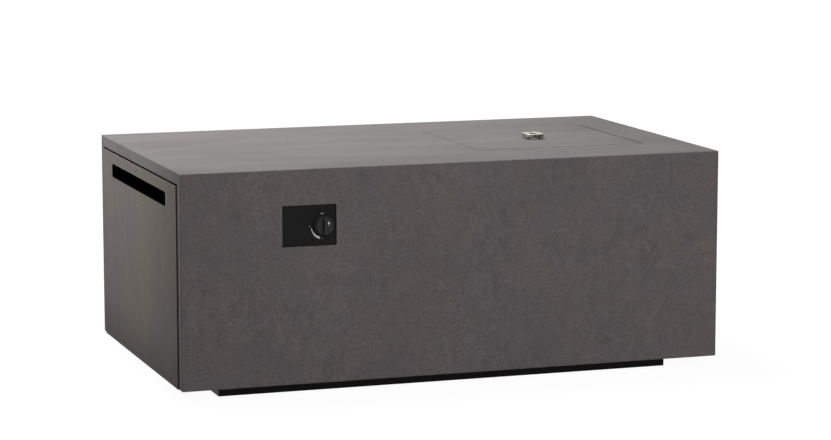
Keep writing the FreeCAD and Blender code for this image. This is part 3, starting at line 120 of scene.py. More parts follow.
# Glass fibre reinforced concrete: sprayed into a mould, stained, then sealed with a satin sealer. A noise has
# its blotches' size in millimetres, its detail, its roughness, how it is feathered and how it is drawn out.
# A range gives the start and end of an effect in its pattern. Cells give the spacing of sand grains, specks
# and pinholes in millimetres, and the sand is drawn coarser than real sand so that it shows.
concrete = {
    "noises": {
        "clouds": (190, 4, 0.55, 0.7, "own"), "drift": (80, 5, 0.62, 0.7, "own"),
        "slow": (260, 2, 0.5, 0, "own"), "mottle": (24, 2, 0.5, 0, (1, 1, 1)),
        "streaks": (22, 3, 0.55, 0, (1, 1, 0.09)), "scuffs": (16, 2, 0.5, 0.4, (0.25, 0.6, 1)),
        "strokes": (48, 6, 0.68, 1.8, (1, 1, 0.7)), "patches": (150, 1, 0.5, 0, (1, 1, 1)),
        "crowds": (70, 2, 0.5, 0, (1, 1, 1)), "wear": (30, 4, 0.6, 0, (1, 1, 1)),
        "waves": (60, 1, 0.5, 0, (1, 1, 1)), "grain": (1.6, 3, 0.7, 0, (1, 1, 1)),
    },
    "cells": {"sand": 2.6, "speck": 7, "pinhole": 34}, "driftShare": 0.45, "stainRange": (0.44, 0.56),
    "scuffRange": (0.62, 0.7), "strokeRange": (0.36, 0.64), "patchRange": (0.42, 0.6),
    "footRange": (0.04, 0.16), "crowdRange": (0.45, 0.62), "crowdLeast": 0.12, "speckSize": (0.08, 0.26),
    "speckChance": (0.55, 0.9), "pinholeSize": (0.035, 0.065), "pinholeChance": (0.93, 0.95),
    "edgeMm": 2.5, "edgeSamples": 4, "edgeTurn": (0.985, 0.9), "wearRange": (0.42, 0.62), "edgeWearHighlightMost": 0.8,
    "shine": (0.78, 0.92), "waveMm": 0.3, "grainMm": 0.08, "dentMm": 0.25, "specular": 0.1,
    "speck": "#4f4b49", "pinhole": "#a9a6a1", "paleEdgeWearAndHighlight": "#8d8985", "openingGapShade": "#232020", "insideShade": "#161515",
}
# The front and back, the slab with its lid, and the drawer's front differ in stain and wear, as castings do,
# and foot is painted shade, darker towards the ground.
# Each layer's strength is a share of the brightness.
castings = {
    "panel": {
        "warm": "#7b7471", "cool": "#767073", "drawn": (1, 1, 0.7), "slow": 0.035, "mottle": 0.035,
        "streaks": 0.015, "sand": 0.17, "specks": 0.55, "scuffs": 0.08, "trowel": (0.02, 0.11), "foot": 0},
    "top": {
        "warm": "#7d7976", "cool": "#7a7778", "drawn": (0.55, 1.5, 1), "slow": 0.1, "mottle": 0.012,
        "streaks": 0, "sand": 0.06, "specks": 0.25, "scuffs": 0, "trowel": (0, 0), "foot": 0},
    "end": {
        "warm": "#7d7670", "cool": "#777272", "drawn": (1, 1, 0.45), "slow": 0.04, "mottle": 0.02,
        "streaks": 0.04, "sand": 0.09, "specks": 0.4, "scuffs": 0.03, "trowel": (0, 0), "foot": 0.33},
}
# The inner faces are found by their distance from what lies inside, in millimetres.
insides = {"panFrom": 3.2, "panTo": 3.6, "postsFrom": 12, "postsTo": 13}


def boxReach(tree, place, node):
    # How far a point lies outside the box round a node, along each axis; it is negative inside.
    low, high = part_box(node)
    away = addNode(tree, "VectorMath", (place, (low + high) / 2), operation="SUBTRACT")
    away = addNode(tree, "VectorMath", (away,), operation="ABSOLUTE")
    away = addNode(tree, "VectorMath", (away, (high - low) / 2), operation="SUBTRACT")
    x, y, z = addNode(tree, "SeparateXYZ", (away,), None)
    return addNode(tree, "Math", (x, y), operation="MAXIMUM"), z


def openingWall(tree, place):
    # One on the walls of the lid's opening, nought elsewhere. The burner pan below is 3 mm smaller all round.
    across, _ = boxReach(tree, place, "burner_pan")
    return addNode(tree, "MapRange", (across, insides["panFrom"] * mm, insides["panTo"] * mm, 1, 0))


def innerSide(tree, place):
    # One behind the shell's thickness, nought on what shows outside.
    across, up = boxReach(tree, place, "frame_posts")
    deepest = addNode(tree, "Math", (across, up), operation="MAXIMUM")
    return addNode(tree, "MapRange", (deepest, insides["postsFrom"] * mm, insides["postsTo"] * mm, 1, 0))


def shadeLayers(tree, place, look, noises, sand):
    # Each layer is a factor near one; they are multiplied.
    c = concrete
    layers = [addNode(tree, "MapRange", (noises[name], *usual, 1 - look[name], 1 + look[name]))
              for name in ("mottle", "slow", "streaks")]
    layers.append(addNode(tree, "MapRange", (sand, 0, 1, 1 - look["sand"], 1 + look["sand"])))
    layers.append(addNode(tree, "MapRange", (noises["scuffs"], *c["scuffRange"], 1, 1 + look["scuffs"])))
    # Trowel strokes are strong in some patches and gone in others.
    strokes = addNode(tree, "MapRange", (noises["strokes"], *c["strokeRange"], -1, 1))
    patch = addNode(tree, "MapRange", (noises["patches"], *c["patchRange"], *look["trowel"]))
    layers.append(addNode(tree, "Math", (strokes, patch, 1), operation="MULTIPLY_ADD"))
    # Painted shade: the foot is darkened towards the ground, as the shade near the floor would darken it.
    height = addNode(tree, "SeparateXYZ", (place,), "Z")
    layers.append(addNode(tree, "MapRange", (height, *c["footRange"], 1 - look["foot"], 1)))
    shade = layers[0]
    for layer in layers[1:]:
        shade = addNode(tree, "Math", (shade, layer), operation="MULTIPLY")
    return shade


def castConcrete(kind, opening=False):
    # Feathered clouds of stain, fine sand and clusters of dark specks make it read as stone, not as paint.
    look, c = castings[kind], concrete
    sockets = {"Specular IOR Level": c["specular"]}
    material, tree, shader, place = startMaterial("sealed_concrete_" + kind, sockets)
    noises, far, chance = {}, {}, {}
    for name, (size, detail, roughness, feather, drawn) in c["noises"].items():
        scale = look["drawn"] if drawn == "own" else drawn
        stretched = addNode(tree, "Mapping", {"Vector": place, "Scale": scale})
        inputs = {"Vector": stretched, "Scale": 1 / (size * mm), "Detail": detail, "Roughness": roughness,
                  "Distortion": feather}
        noises[name] = addNode(tree, "TexNoise", inputs)
    for name, size in c["cells"].items():
        cell = addNode(tree, "TexVoronoi", {"Vector": place, "Scale": 1 / (size * mm)}, None)
        far[name] = cell["Distance"]
        chance[name] = addNode(tree, "SeparateColor", (cell["Color"],), None)

    stain = addNode(tree, "Mix", {0: c["driftShare"], numberA: noises["clouds"], numberB: noises["drift"]})
    stain = addNode(tree, "MapRange", (stain, *c["stainRange"], 0, 1))
    colour = addNode(tree, "Mix", {0: stain, colourA: look["warm"], colourB: look["cool"]}, mixedColour,
                     data_type="RGBA")
    shade = shadeLayers(tree, place, look, noises, chance["sand"][0])
    colour = addNode(tree, "VectorMath", {0: colour, "Scale": shade}, operation="SCALE")

    # Dark specks lie in crowds, and a few pale pinholes are scattered.
    near = addNode(tree, "MapRange", (far["speck"], *c["speckSize"], 1, 0))
    drawnLot = addNode(tree, "MapRange", (chance["speck"][0], *c["speckChance"], 0, look["specks"]))
    crowd = addNode(tree, "MapRange", (noises["crowds"], *c["crowdRange"], c["crowdLeast"], 1))
    specks = addNode(tree, "Math", (near, drawnLot), operation="MULTIPLY")
    specks = addNode(tree, "Math", (specks, crowd), operation="MULTIPLY")
    near = addNode(tree, "MapRange", (far["pinhole"], *c["pinholeSize"], 1, 0))
    drawnLot = addNode(tree, "MapRange", (chance["pinhole"][1], *c["pinholeChance"], 0, 1))
    pinholes = addNode(tree, "Math", (near, drawnLot), operation="MULTIPLY")

    # Arrises are paler in patches, partly wear and partly painted highlight: where a rounded normal turns
    # away from the flat one.
    rounded = addNode(tree, "Bevel", {"Radius": c["edgeMm"] * mm}, samples=c["edgeSamples"])
    flat = addNode(tree, "NewGeometry", out="Normal")
    turn = addNode(tree, "VectorMath", (rounded, flat), "Value", operation="DOT_PRODUCT")
    turn = addNode(tree, "MapRange", (turn, *c["edgeTurn"], 0, 1))
    wear = addNode(tree, "MapRange", (noises["wear"], *c["wearRange"], 0, c["edgeWearHighlightMost"]))
    edgeWearAndHighlight = addNode(tree, "Math", (turn, wear), operation="MULTIPLY")

    coats = [(specks, c["speck"]), (pinholes, c["pinhole"]), (edgeWearAndHighlight, c["paleEdgeWearAndHighlight"])]
    coats.append((innerSide(tree, place), c["insideShade"]))  # painted shade: faces behind the shell's thickness are darkened as shade inside the shell would darken them
    # Painted shade: the walls of the slab's opening round the lid are darkened, as shade in the gap would
    # darken them.
    if opening:
        coats.append((openingWall(tree, place), c["openingGapShade"]))
    for amount, tint in coats:
        colour = addNode(tree, "Mix", {0: amount, colourA: colour, colourB: tint}, mixedColour,
                         data_type="RGBA")
    shine = addNode(tree, "MapRange", (noises["mottle"], *usual, *c["shine"]))
    dents = addNode(tree, "Math", (specks, pinholes), operation="ADD")
    bumps = [(noises["waves"], c["waveMm"]), (noises["grain"], c["grainMm"]), (dents, -c["dentMm"])]
    finishShader(tree, shader, colour, shine, bumps)
    return material


# Finishes of one or two noises. Tone mixes the two colours, over a range where one is given, and grain, or
# else tone, is the bump. A noise has its size in millimetres, its detail, its roughness and, where it is
# drawn out, by how much. Shine names the noise that varies the roughness, and its least and most. Ground
# lines, tool marks, moulded grain and flock are finer on the real thing, and are drawn coarser here so that
# they show.
plain = {
    # Polyester powder baked on steel: even black with a soft orange-peel sheen.
    "powder_coated_steel": {
        "tone": (60, 3, 0.6), "colours": ("#0a0909", "#100f0f"), "grain": (1.4, 2, 0.5),
        "shine": ("grain", 0.42, 0.52), "bumpMm": 0.05, "sockets": {"IOR": 1.5, "Specular IOR Level": 0.09}},
    # Black baked enamel under a matt clear coat, with a fine leather grain.
    "enamelled_plate": {
        "tone": (35, 2, 0.5), "colours": ("#141313", "#191818"), "grain": (0.9, 3, 0.6),
        "shine": ("grain", 0.38, 0.5), "bumpMm": 0.02, "sockets": {"IOR": 1.5, "Specular IOR Level": 0.15}},
    # Cold-rolled 304 sheet with a ground grain along X: fine light and dark lines.
    "brushed_stainless": {
        "tone": (1.4, 3, 0.7, (0.03, 1, 1)), "colours": ("#b3afa9", "#cfccc6"), "shine": ("tone", 0.24, 0.4),
        "bumpMm": 0.015, "sockets": {"Metallic": 1.0}},
    # Turned free-cutting brass, dulled by handling: fine tool marks and brown tarnish.
    "machined_brass": {
        "tone": (9, 4, 0.6), "range": (0.35, 0.7), "colours": ("#c9a45c", "#8f7036"), "grain": (0.8, 2, 0.5),
        "shine": ("tone", 0.24, 0.42), "bumpMm": 0.01, "sockets": {"Metallic": 1.0}},
    # Pressure die-cast aluminium as it leaves the mould: dull grey skin with flow marks.
    "diecast_aluminium": {
        "tone": (14, 4, 0.6, (1, 0.4, 1)), "colours": ("#8e8f8f", "#b4b5b4"), "grain": (1.1, 3, 0.6),
        "shine": ("tone", 0.42, 0.58), "bumpMm": 0.04, "sockets": {"Metallic": 1.0}},
    # Malleable iron pipe fitting, sand cast and black oiled: coarse grain.
    "malleable_iron": {
        "tone": (1.2, 4, 0.7), "colours": ("#222020", "#3a3634"), "shine": ("tone", 0.5, 0.7),
        "bumpMm": 0.12, "sockets": {"Metallic": 0.6}},
    # Black nitrile rubber from a steel mould: dead matt with a grey bloom.
    "moulded_rubber": {
        "tone": (8, 3, 0.6), "colours": ("#19191a", "#2a2a2b"), "grain": (0.7, 2, 0.5),
        "shine": ("tone", 0.68, 0.84), "bumpMm": 0.03, "sockets": {"IOR": 1.52}},
    # Glass-filled nylon, spark-eroded mould: charcoal with a fine even grain that catches a soft sheen.
    "moulded_nylon": {
        "tone": (0.8, 3, 0.6), "colours": ("#262626", "#303030"), "shine": ("tone", 0.4, 0.55),
        "bumpMm": 0.03, "sockets": {"IOR": 1.53, "Specular IOR Level": 0.25}},
    # Injection moulded, flocked with short black fibre: swallows light, with a faint dusty mottle. Its near
    # black is painted shade, on the slot's liner and the strip in the gap under the slab.
    "shade_flock": {
        "tone": (1.2, 3, 0.7), "colours": ("#030303", "#080707"), "shine": ("tone", 0.9, 0.98),
        "bumpMm": 0.08, "sockets": {"IOR": 1.5, "Specular IOR Level": 0.0}},
    # Alumina sleeve with a clear glaze: ivory white, darkened by heat in patches.
    "glazed_alumina": {
        "tone": (12, 3, 0.5), "range": (0.45, 0.7), "colours": ("#e8e4d9", "#cfc5b2"), "grain": (1.5, 2, 0.5),
        "shine": ("tone", 0.18, 0.3), "bumpMm": 0.01, "sockets": {"IOR": 1.6}},
    # Silicone sleeve on the spark lead: soft black with dust in its grain.
    "silicone_sleeve": {
        "tone": (5, 3, 0.6), "colours": ("#1d1c1c", "#343231"), "grain": (0.9, 2, 0.5),
        "shine": ("tone", 0.5, 0.66), "bumpMm": 0.02, "sockets": {"IOR": 1.43}},
    # Screen-printed white ink: slightly uneven, matt.
    "screen_ink": {
        "tone": (1.5, 3, 0.6), "colours": ("#e9e8e6", "#f8f7f5"), "shine": ("tone", 0.5, 0.62),
        "bumpMm": 0, "sockets": {"IOR": 1.5}},
}


def plainFinish(name):
    look = plain[name]
    material, tree, shader, place = startMaterial(name, look["sockets"])
    patterns = {}
    for which in ("tone", "grain"):
        if which in look:
            size, detail, roughness, *drawn = look[which]
            stretched = addNode(tree, "Mapping", {"Vector": place, "Scale": drawn[0] if drawn else (1, 1, 1)})
            patterns[which] = addNode(tree, "TexNoise", {"Vector": stretched, "Scale": 1 / (size * mm),
                                                         "Detail": detail, "Roughness": roughness})
    amount = addNode(tree, "MapRange", (patterns["tone"], *look.get("range", (0, 1)), 0, 1))
    first, second = look["colours"]
    colour = addNode(tree, "Mix", {0: amount, colourA: first, colourB: second}, mixedColour, data_type="RGBA")
    which, least, most = look["shine"]
    shine = addNode(tree, "MapRange", (patterns[which], *usual, least, most))
    bumps = [(patterns.get("grain", patterns["tone"]), look["bumpMm"])] if look["bumpMm"] else []
    finishShader(tree, shader, colour, shine, bumps)
    return material


# Zinc coatings, by their crystals' size in millimetres: hot-dip sheet, bright plated tube, and plated screws
# passivated black. Plating has much finer crystals, drawn coarser here so that they show.
zinc = {"galvanised_sheet": {"crystalMm": 9, "dark": "#96999b", "pale": "#c3c5c6"},
        "bright_zinc_tube": {"crystalMm": 3, "dark": "#a2a4a4", "pale": "#b9bbbb"},
        "black_passivated_zinc": {"crystalMm": 3, "dark": "#191a1c", "pale": "#26272a"},
        "cloudMm": 50, "cloudShare": 0.4, "shine": (0.34, 0.52), "bumpMm": 0.02}


def galvanised(name):
    # Frosty crystals of differing grey, each with its own gloss, under slow clouds.
    look = zinc[name]
    material, tree, shader, place = startMaterial(name, {"Metallic": 1.0})
    crystals = addNode(tree, "TexVoronoi", {"Vector": place, "Scale": 1 / (look["crystalMm"] * mm)}, "Color")
    pick = addNode(tree, "SeparateColor", (crystals,))
    cloud = addNode(tree, "TexNoise", {"Vector": place, "Scale": 1 / (zinc["cloudMm"] * mm), "Detail": 3,
                                       "Roughness": 0.6})
    mixed = addNode(tree, "Mix", {0: zinc["cloudShare"], numberA: pick, numberB: cloud})
    colour = addNode(tree, "Mix", {0: mixed, colourA: look["dark"], colourB: look["pale"]}, mixedColour,
                     data_type="RGBA")
    shine = addNode(tree, "MapRange", (pick, 0, 1, *zinc["shine"]))
    finishShader(tree, shader, colour, shine, [(pick, zinc["bumpMm"])])
    return material


# Sizes are in millimetres. The painted highlight on the left end fades out between two distances from the
# handle's left.
nickel = {"waveMm": 7, "brushMm": 2.5, "dull": "#a7a298", "bright": "#bdb8ad", "flankShade": "#857b74",
          "upright": (0.25, 0.75), "leftEndHighlightMm": (12, 17), "shine": (0.2, 0.3), "bumpMm": 0.01}


def polishedCasting():
    # Cast steel, nickel plated. Painted highlight and painted shade: faces that look up and the left end are
    # bright, and the flanks are darker, in place of the reflections they would show.
    material, tree, shader, place = startMaterial("polished_nickel", {"Metallic": 1.0})
    waves = addNode(tree, "TexNoise", {"Vector": place, "Scale": 1 / (nickel["waveMm"] * mm), "Detail": 2,
                                       "Roughness": 0.5})
    brushed = addNode(tree, "TexNoise", {"Vector": place, "Scale": 1 / (nickel["brushMm"] * mm), "Detail": 3,
                                         "Roughness": 0.6})
    up = addNode(tree, "SeparateXYZ", (addNode(tree, "NewGeometry", out="Normal"),), "Z")
    top = addNode(tree, "MapRange", (up, *nickel["upright"], 0, 1))
    along = addNode(tree, "SeparateXYZ", (place,), "X")
    low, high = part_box("lid_handle")
    start, stop = (low.x + reach * mm for reach in nickel["leftEndHighlightMm"])
    end = addNode(tree, "MapRange", (along, start, stop, 1, 0))
    paintedHighlight = addNode(tree, "Math", (top, end), operation="MAXIMUM")
    colour = addNode(tree, "Mix", {0: waves, colourA: nickel["dull"], colourB: nickel["bright"]}, mixedColour,
                     data_type="RGBA")
    colour = addNode(tree, "Mix", {0: paintedHighlight, colourA: nickel["flankShade"], colourB: colour}, mixedColour,
                     data_type="RGBA")
    shine = addNode(tree, "MapRange", (brushed, *usual, *nickel["shine"]))
    finishShader(tree, shader, colour, shine, [(waves, nickel["bumpMm"])])
    return material


# Sizes of colour patches, bubbles and grit, and how deep the pits and the grit are, are in millimetres.
rockLook = {"patchMm": 38, "bubbleMm": 3.4, "gritMm": 2, "bubble": (0.12, 0.45), "patch": (0.4, 0.62),
            "red": "#3c2c27", "grey": "#2b2829", "pit": "#120f0e", "shine": (0.85, 0.95),
            "pitDeepMm": 0.9, "gritDeepMm": 0.5}


def lavaRock():
    # Tumbled scoria: red-brown to black, riddled with gas bubbles.
    material, tree, shader, place = startMaterial("scoria", {"IOR": 1.5})
    patch = addNode(tree, "TexNoise", {"Vector": place, "Scale": 1 / (rockLook["patchMm"] * mm), "Detail": 3,
                                       "Roughness": 0.6})
    grit = addNode(tree, "TexNoise", {"Vector": place, "Scale": 1 / (rockLook["gritMm"] * mm), "Detail": 4,
                                      "Roughness": 0.7})
    bubbles = addNode(tree, "TexVoronoi", {"Vector": place, "Scale": 1 / (rockLook["bubbleMm"] * mm)})
    pits = addNode(tree, "MapRange", (bubbles, *rockLook["bubble"], 0, 1))
    turned = addNode(tree, "MapRange", (patch, *rockLook["patch"], 0, 1))
    colour = addNode(tree, "Mix", {0: turned, colourA: rockLook["red"], colourB: rockLook["grey"]},
                     mixedColour, data_type="RGBA")
    # Painted shade: the bubbles' pits are darkened as their hollows would be shaded; the same pits are also
    # bumped.
    colour = addNode(tree, "Mix", {0: pits, colourA: rockLook["pit"], colourB: colour},
                     mixedColour, data_type="RGBA")
    shine = addNode(tree, "MapRange", (patch, *usual, *rockLook["shine"]))
    finishShader(tree, shader, colour, shine, [(pits, rockLook["pitDeepMm"]), (grit, rockLook["gritDeepMm"])])
    return material


ink = plainFinish("screen_ink")
shadeFlock = plainFinish("shade_flock")
scoria = lavaRock()
finishes = {
    "concrete": castConcrete("panel"),
    "black_steel": plainFinish("powder_coated_steel"),
    "control_black": plainFinish("enamelled_plate"),
    "zinc_steel": galvanised("galvanised_sheet"),
    "stainless": plainFinish("brushed_stainless"),
    "polished_steel": polishedCasting(),
    "brass": plainFinish("machined_brass"),
    "cast_alloy": plainFinish("diecast_aluminium"),
    "black_iron": plainFinish("malleable_iron"),
    "rubber": plainFinish("moulded_rubber"),
    "knob_plastic": plainFinish("moulded_nylon"),
    "lava_rock": scoria,
    "ceramic": plainFinish("glazed_alumina"),
    "tube_steel": galvanised("bright_zinc_tube"),
    "lead_insulation": plainFinish("silicone_sleeve"),
}
# These nodes differ from the rest of their slot.
ownLook = {"top_slab": castConcrete("top", opening=True), "lid_panel": castConcrete("top"),
           "drawer_front": castConcrete("end"), "panel_screws": galvanised("black_passivated_zinc")}
for part in frame["record"]["subparts"]:
    holder = frame["nodes"][part["node"]]
    holder.data.materials.clear()
    holder.data.materials.append(ownLook.get(part["node"], finishes[part["material_slot"]]))
print("materials set on every node")


def gridFaces(rows, columns, closed=False):
    # Quads between neighbouring rows of points; the columns close into a ring, and closed rows do too.
    row, column = np.meshgrid(np.arange(rows if closed else rows - 1), np.arange(columns), indexing="ij")
    after, below = (column + 1) % columns, (row + 1) % rows
    corners = [row * columns + column, row * columns + after,
               below * columns + after, below * columns + column]
    return np.stack(corners, axis=-1).reshape(-1, 4)


def makePiece(name, points, faces, material, body, slot, smooth=True):
    mesh = bpy.data.meshes.new(name)
    mesh.from_pydata(points.tolist(), [], faces)
    mesh.update()
    mesh.polygons.foreach_set("use_smooth", np.full(len(mesh.polygons), smooth))
    mesh.materials.append(material)
    piece = bpy.data.objects.new(name, mesh)
    bpy.context.scene.collection.objects.link(piece)
    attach(piece, body)
    return piece


# Lava rock, a loose bed two stones deep that fills the pan over the burner ring. Sizes are in millimetres.
rocks = {"spacing": 32, "radius": (14.5, 19.5), "columns": 10, "rows": 7, "lumps": 5, "lumpiness": 1.9,
         "lumpShare": 0.084, "squash": (0.72, 1.0), "nudge": (0.13, 0.13, 0.07), "hoodClear": 13, "seed": 11}


def rockCentres(random, low, high):
    # Two square grids, the upper one shifted by half a stone, each stone nudged a little.
    step = rocks["spacing"] * mm
    reach = rocks["radius"][1] * mm
    layers = []
    for level, z in enumerate((low.z + reach, high.z - reach)):
        xs = np.arange(low.x + reach + level * step / 2, high.x - reach, step)
        ys = np.arange(low.y + reach + level * step / 2, high.y - reach, step)
        x, y = np.meshgrid(xs, ys, indexing="ij")
        layers.append(np.stack([x.ravel(), y.ravel(), np.full(x.size, z)], axis=1))
    centres = np.concatenate(layers)
    centres += random.uniform(-1, 1, centres.shape) * step * np.array(rocks["nudge"])
    clear = rocks["hoodClear"] * mm
    hoodLow, hoodHigh = (np.array(corner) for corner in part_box("pilot_hood"))
    flat = centres[:, :2]
    inside = np.all((flat > hoodLow[:2] - clear) & (flat < hoodHigh[:2] + clear), axis=1)
    return centres[~inside]


def makeRocks():
    # A stone is a ball over longitude u and latitude v, whose radius swells and dips with a few cosines of
    # the direction. It is squashed along three axes and turned at random.
    random = np.random.default_rng(rocks["seed"])
    low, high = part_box("fire_media")
    centres = rockCentres(random, low, high)
    count, rows, columns = len(centres), rocks["rows"], rocks["columns"]
    u = np.arange(columns) * 2 * math.pi / columns
    v = np.linspace(0, math.pi, rows)[1:-1]
    ring = np.stack([np.outer(np.sin(v), np.cos(u)), np.outer(np.sin(v), np.sin(u)),
                     np.outer(np.cos(v), np.ones(columns))], axis=-1).reshape(-1, 3)
    ball = np.concatenate([ring, [[0, 0, 1], [0, 0, -1]]])
    waves = random.normal(0, rocks["lumpiness"], (count, rocks["lumps"], 3))
    phases = random.uniform(0, 2 * math.pi, (count, rocks["lumps"], 1))
    swell = np.cos(np.einsum("nld,pd->nlp", waves, ball) + phases).sum(axis=1) * rocks["lumpShare"]
    radius = random.uniform(*rocks["radius"], (count, 1)) * mm
    squash = random.uniform(*rocks["squash"], (count, 1, 3))
    shape = ball[None] * squash * (radius * (1 + swell))[..., None]
    turns, _ = np.linalg.qr(random.normal(size=(count, 3, 3)))
    turns *= np.linalg.det(turns)[:, None, None]
    points = np.einsum("npd,nde->npe", shape, turns) + centres[:, None]
    points = np.clip(points, np.array(low), np.array(high))
    top, bottom = len(ring), len(ring) + 1
    quads = gridFaces(rows - 2, columns)[:, ::-1]
    column = np.arange(columns)
    after = (column + 1) % columns
    lastRing = (rows - 3) * columns
    caps = np.concatenate([np.stack([column, after, np.full(columns, top)], axis=1),
                           np.stack([after + lastRing, column + lastRing, np.full(columns, bottom)], axis=1)])
    shift = np.arange(count)[:, None, None] * len(ball)
    faces = (quads[None] + shift).reshape(-1, 4).tolist() + (caps[None] + shift).reshape(-1, 3).tolist()
    bed = makePiece("lavaRocks", points.reshape(-1, 3), faces, scoria, "root", "lava_rock")
    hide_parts("fire_media")
    print("lava rock bed,", count, "stones")


makeRocks()

# A moulded liner in the drawer's hand slot, in millimetres; its near-black flock is painted shade, as dark as
# a deep hollow. Below is from the front's top edge to the slot's. Each pair is how far the section lies
# behind the front's face and how far it stands out from the slot's wall, from the rim round to the inside.
liner = {"wide": 620, "tall": 36.5, "below": 31.5, "corner": 10, "arcSteps": 8,
         "section": ((-0.1, 1.0), (0.25, 1.0), (2.2, -0.1), (32.5, -0.1), (32.5, -1.3), (0.9, -1.3),
                     (-0.1, -0.6))}
# Painted shade: a near-black strip on the front's top edge fills the gap under the slab, as dark as shade in
# that gap; sizes in millimetres.
gapShadeStrip = {"back": 1.6, "deep": 15, "tall": 3.2, "endGap": 1, "soft": 0.6, "softSteps": 3}


def roundedRing(halfWide, halfTall, radius, steps):
    # A rounded rectangle: the points of a circle, each quarter pushed out to its own corner.
    turn = np.linspace(0, math.pi / 2, steps + 1)
    turn = (turn[None] + np.arange(4)[:, None] * math.pi / 2).ravel()
    quarter = np.repeat(np.arange(4), steps + 1)
    signWide, signTall = np.array([1, -1, -1, 1])[quarter], np.array([1, 1, -1, -1])[quarter]
    return (np.cos(turn) * radius + signWide * (halfWide - radius),
            np.sin(turn) * radius + signTall * (halfTall - radius))


def makeLiner():
    # The section is carried round the slot's rounded rectangle.
    low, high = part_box("drawer_front")
    middleY, middleZ = (low.y + high.y) / 2, high.z - (liner["below"] + liner["tall"] / 2) * mm
    rings = []
    for behind, out in liner["section"]:
        across, up = roundedRing(liner["wide"] / 2 + out, liner["tall"] / 2 + out, liner["corner"] + out,
                                 liner["arcSteps"])
        rings.append(np.stack([np.full_like(across, low.x + behind * mm), middleY + across * mm,
                               middleZ + up * mm], axis=-1))
    points = np.concatenate(rings)
    faces = gridFaces(len(rings), len(rings[0]), closed=True).tolist()
    makePiece("slotLiner", points, faces, shadeFlock, "drawer", "knob_plastic", smooth=False)


def makeGapShadeStrip():
    # A rounded rectangle carried along the front's top edge.
    low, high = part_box("drawer_front")
    half = (high.y - low.y) / 2 - gapShadeStrip["endGap"] * mm
    up, across = roundedRing(gapShadeStrip["tall"] / 2, gapShadeStrip["deep"] / 2, gapShadeStrip["soft"], gapShadeStrip["softSteps"])
    rings = [np.stack([low.x + (gapShadeStrip["back"] + gapShadeStrip["deep"] / 2 + across) * mm, np.full_like(up, y),
                       high.z + (gapShadeStrip["tall"] / 2 + up) * mm], axis=-1) for y in (-half, half)]
    count = len(up)
    faces = gridFaces(2, count).tolist() + [list(range(count))[::-1], list(range(count, 2 * count))]
    makePiece("topGapShade", np.concatenate(rings), faces, shadeFlock, "drawer", "rubber", smooth=False)
    print("slot liner and seal made")


makeLiner()
makeGapShadeStrip()

# Marks screen printed round the knob, in millimetres from its axis: the word for closed at the top, and an
# arc, in degrees, that swells towards the larger flame. They stand proud by the ink's thickness. A letter's
# height is capShare of its text's size.
marks = {"inkMm": 0.1, "capShare": 0.7, "letterMm": 3.6, "offPlace": (-3.8, 31.6), "smallLetterMm": 2.2,
         "lowPlace": (-37.6, -0.3), "highPlace": (-2.5, -34.6), "onPlace": (8.7, 1.0),
         "arcRadius": 33.8, "arcFrom": 190, "arcTo": 253, "arcThin": 1.5, "arcThick": 6.2, "arcSteps": 40,
         "flamePlace": (9.5, 8.7), "flameWide": 7.13, "flameTall": 8.0, "flamePower": 1.3, "flameSteps": 36,
         "faceBelowGrip": 12}
knobLow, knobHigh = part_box("control_knob")
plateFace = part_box("control_plate")[0].y
knobFace = knobHigh.y - marks["faceBelowGrip"] * mm
axisX, axisZ = (knobLow.x + knobHigh.x) / 2, (knobLow.z + knobHigh.z) / 2


def standUp(across, up, depth, face):
    # Turns drawing coordinates into places on an upright face that looks to -Y.
    return np.stack([axisX + across, np.full_like(across, face) - depth, axisZ + up], axis=-1)


def raisedOutline(across, up, face):
    # An outline raised by the ink's thickness: one face in front, one behind, and a wall all round.
    count = len(across)
    front = standUp(across, up, marks["inkMm"] * mm, face)
    back = standUp(across, up, 0.0, face)
    ring = np.arange(count)
    after = (ring + 1) % count
    wall = np.stack([ring, ring + count, after + count, after], axis=1).tolist()
    return np.concatenate([front, back]), wall + [ring.tolist(), (ring[::-1] + count).tolist()]


def letters(name, text, place, heightMm, face, body):
    # Text is made a mesh as thick as the ink, then stood up on its face.
    curve = bpy.data.curves.new(name, "FONT")
    curve.body = text
    curve.size = heightMm * mm / marks["capShare"]
    curve.align_x = "CENTER"
    curve.align_y = "CENTER"
    curve.extrude = marks["inkMm"] * mm / 2
    maker = bpy.data.objects.new(name, curve)
    mesh = bpy.data.meshes.new_from_object(maker)
    bpy.data.objects.remove(maker)
    points = np.empty(len(mesh.vertices) * 3)
    mesh.vertices.foreach_get("co", points)
    points = points.reshape(-1, 3)
    placed = standUp(points[:, 0] + place[0] * mm, points[:, 1] + place[1] * mm,
                     points[:, 2] + marks["inkMm"] * mm / 2, face)
    mesh.vertices.foreach_set("co", placed.ravel())
    mesh.update()
    mesh.materials.clear()
    mesh.materials.append(ink)
    piece = bpy.data.objects.new(name, mesh)
    bpy.context.scene.collection.objects.link(piece)
    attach(piece, body)


def flameArc():
    # A crescent: its middle line is part of a circle about the knob, its width grows steadily along it.
    turn = np.radians(np.linspace(marks["arcFrom"], marks["arcTo"], marks["arcSteps"]))
    wide = np.linspace(marks["arcThin"], marks["arcThick"], marks["arcSteps"]) / 2
    inner, outer = marks["arcRadius"] - wide, marks["arcRadius"] + wide
    across = np.concatenate([np.cos(turn) * outer, (np.cos(turn) * inner)[::-1]]) * mm
    up = np.concatenate([np.sin(turn) * outer, (np.sin(turn) * inner)[::-1]]) * mm
    return raisedOutline(across, up, plateFace)


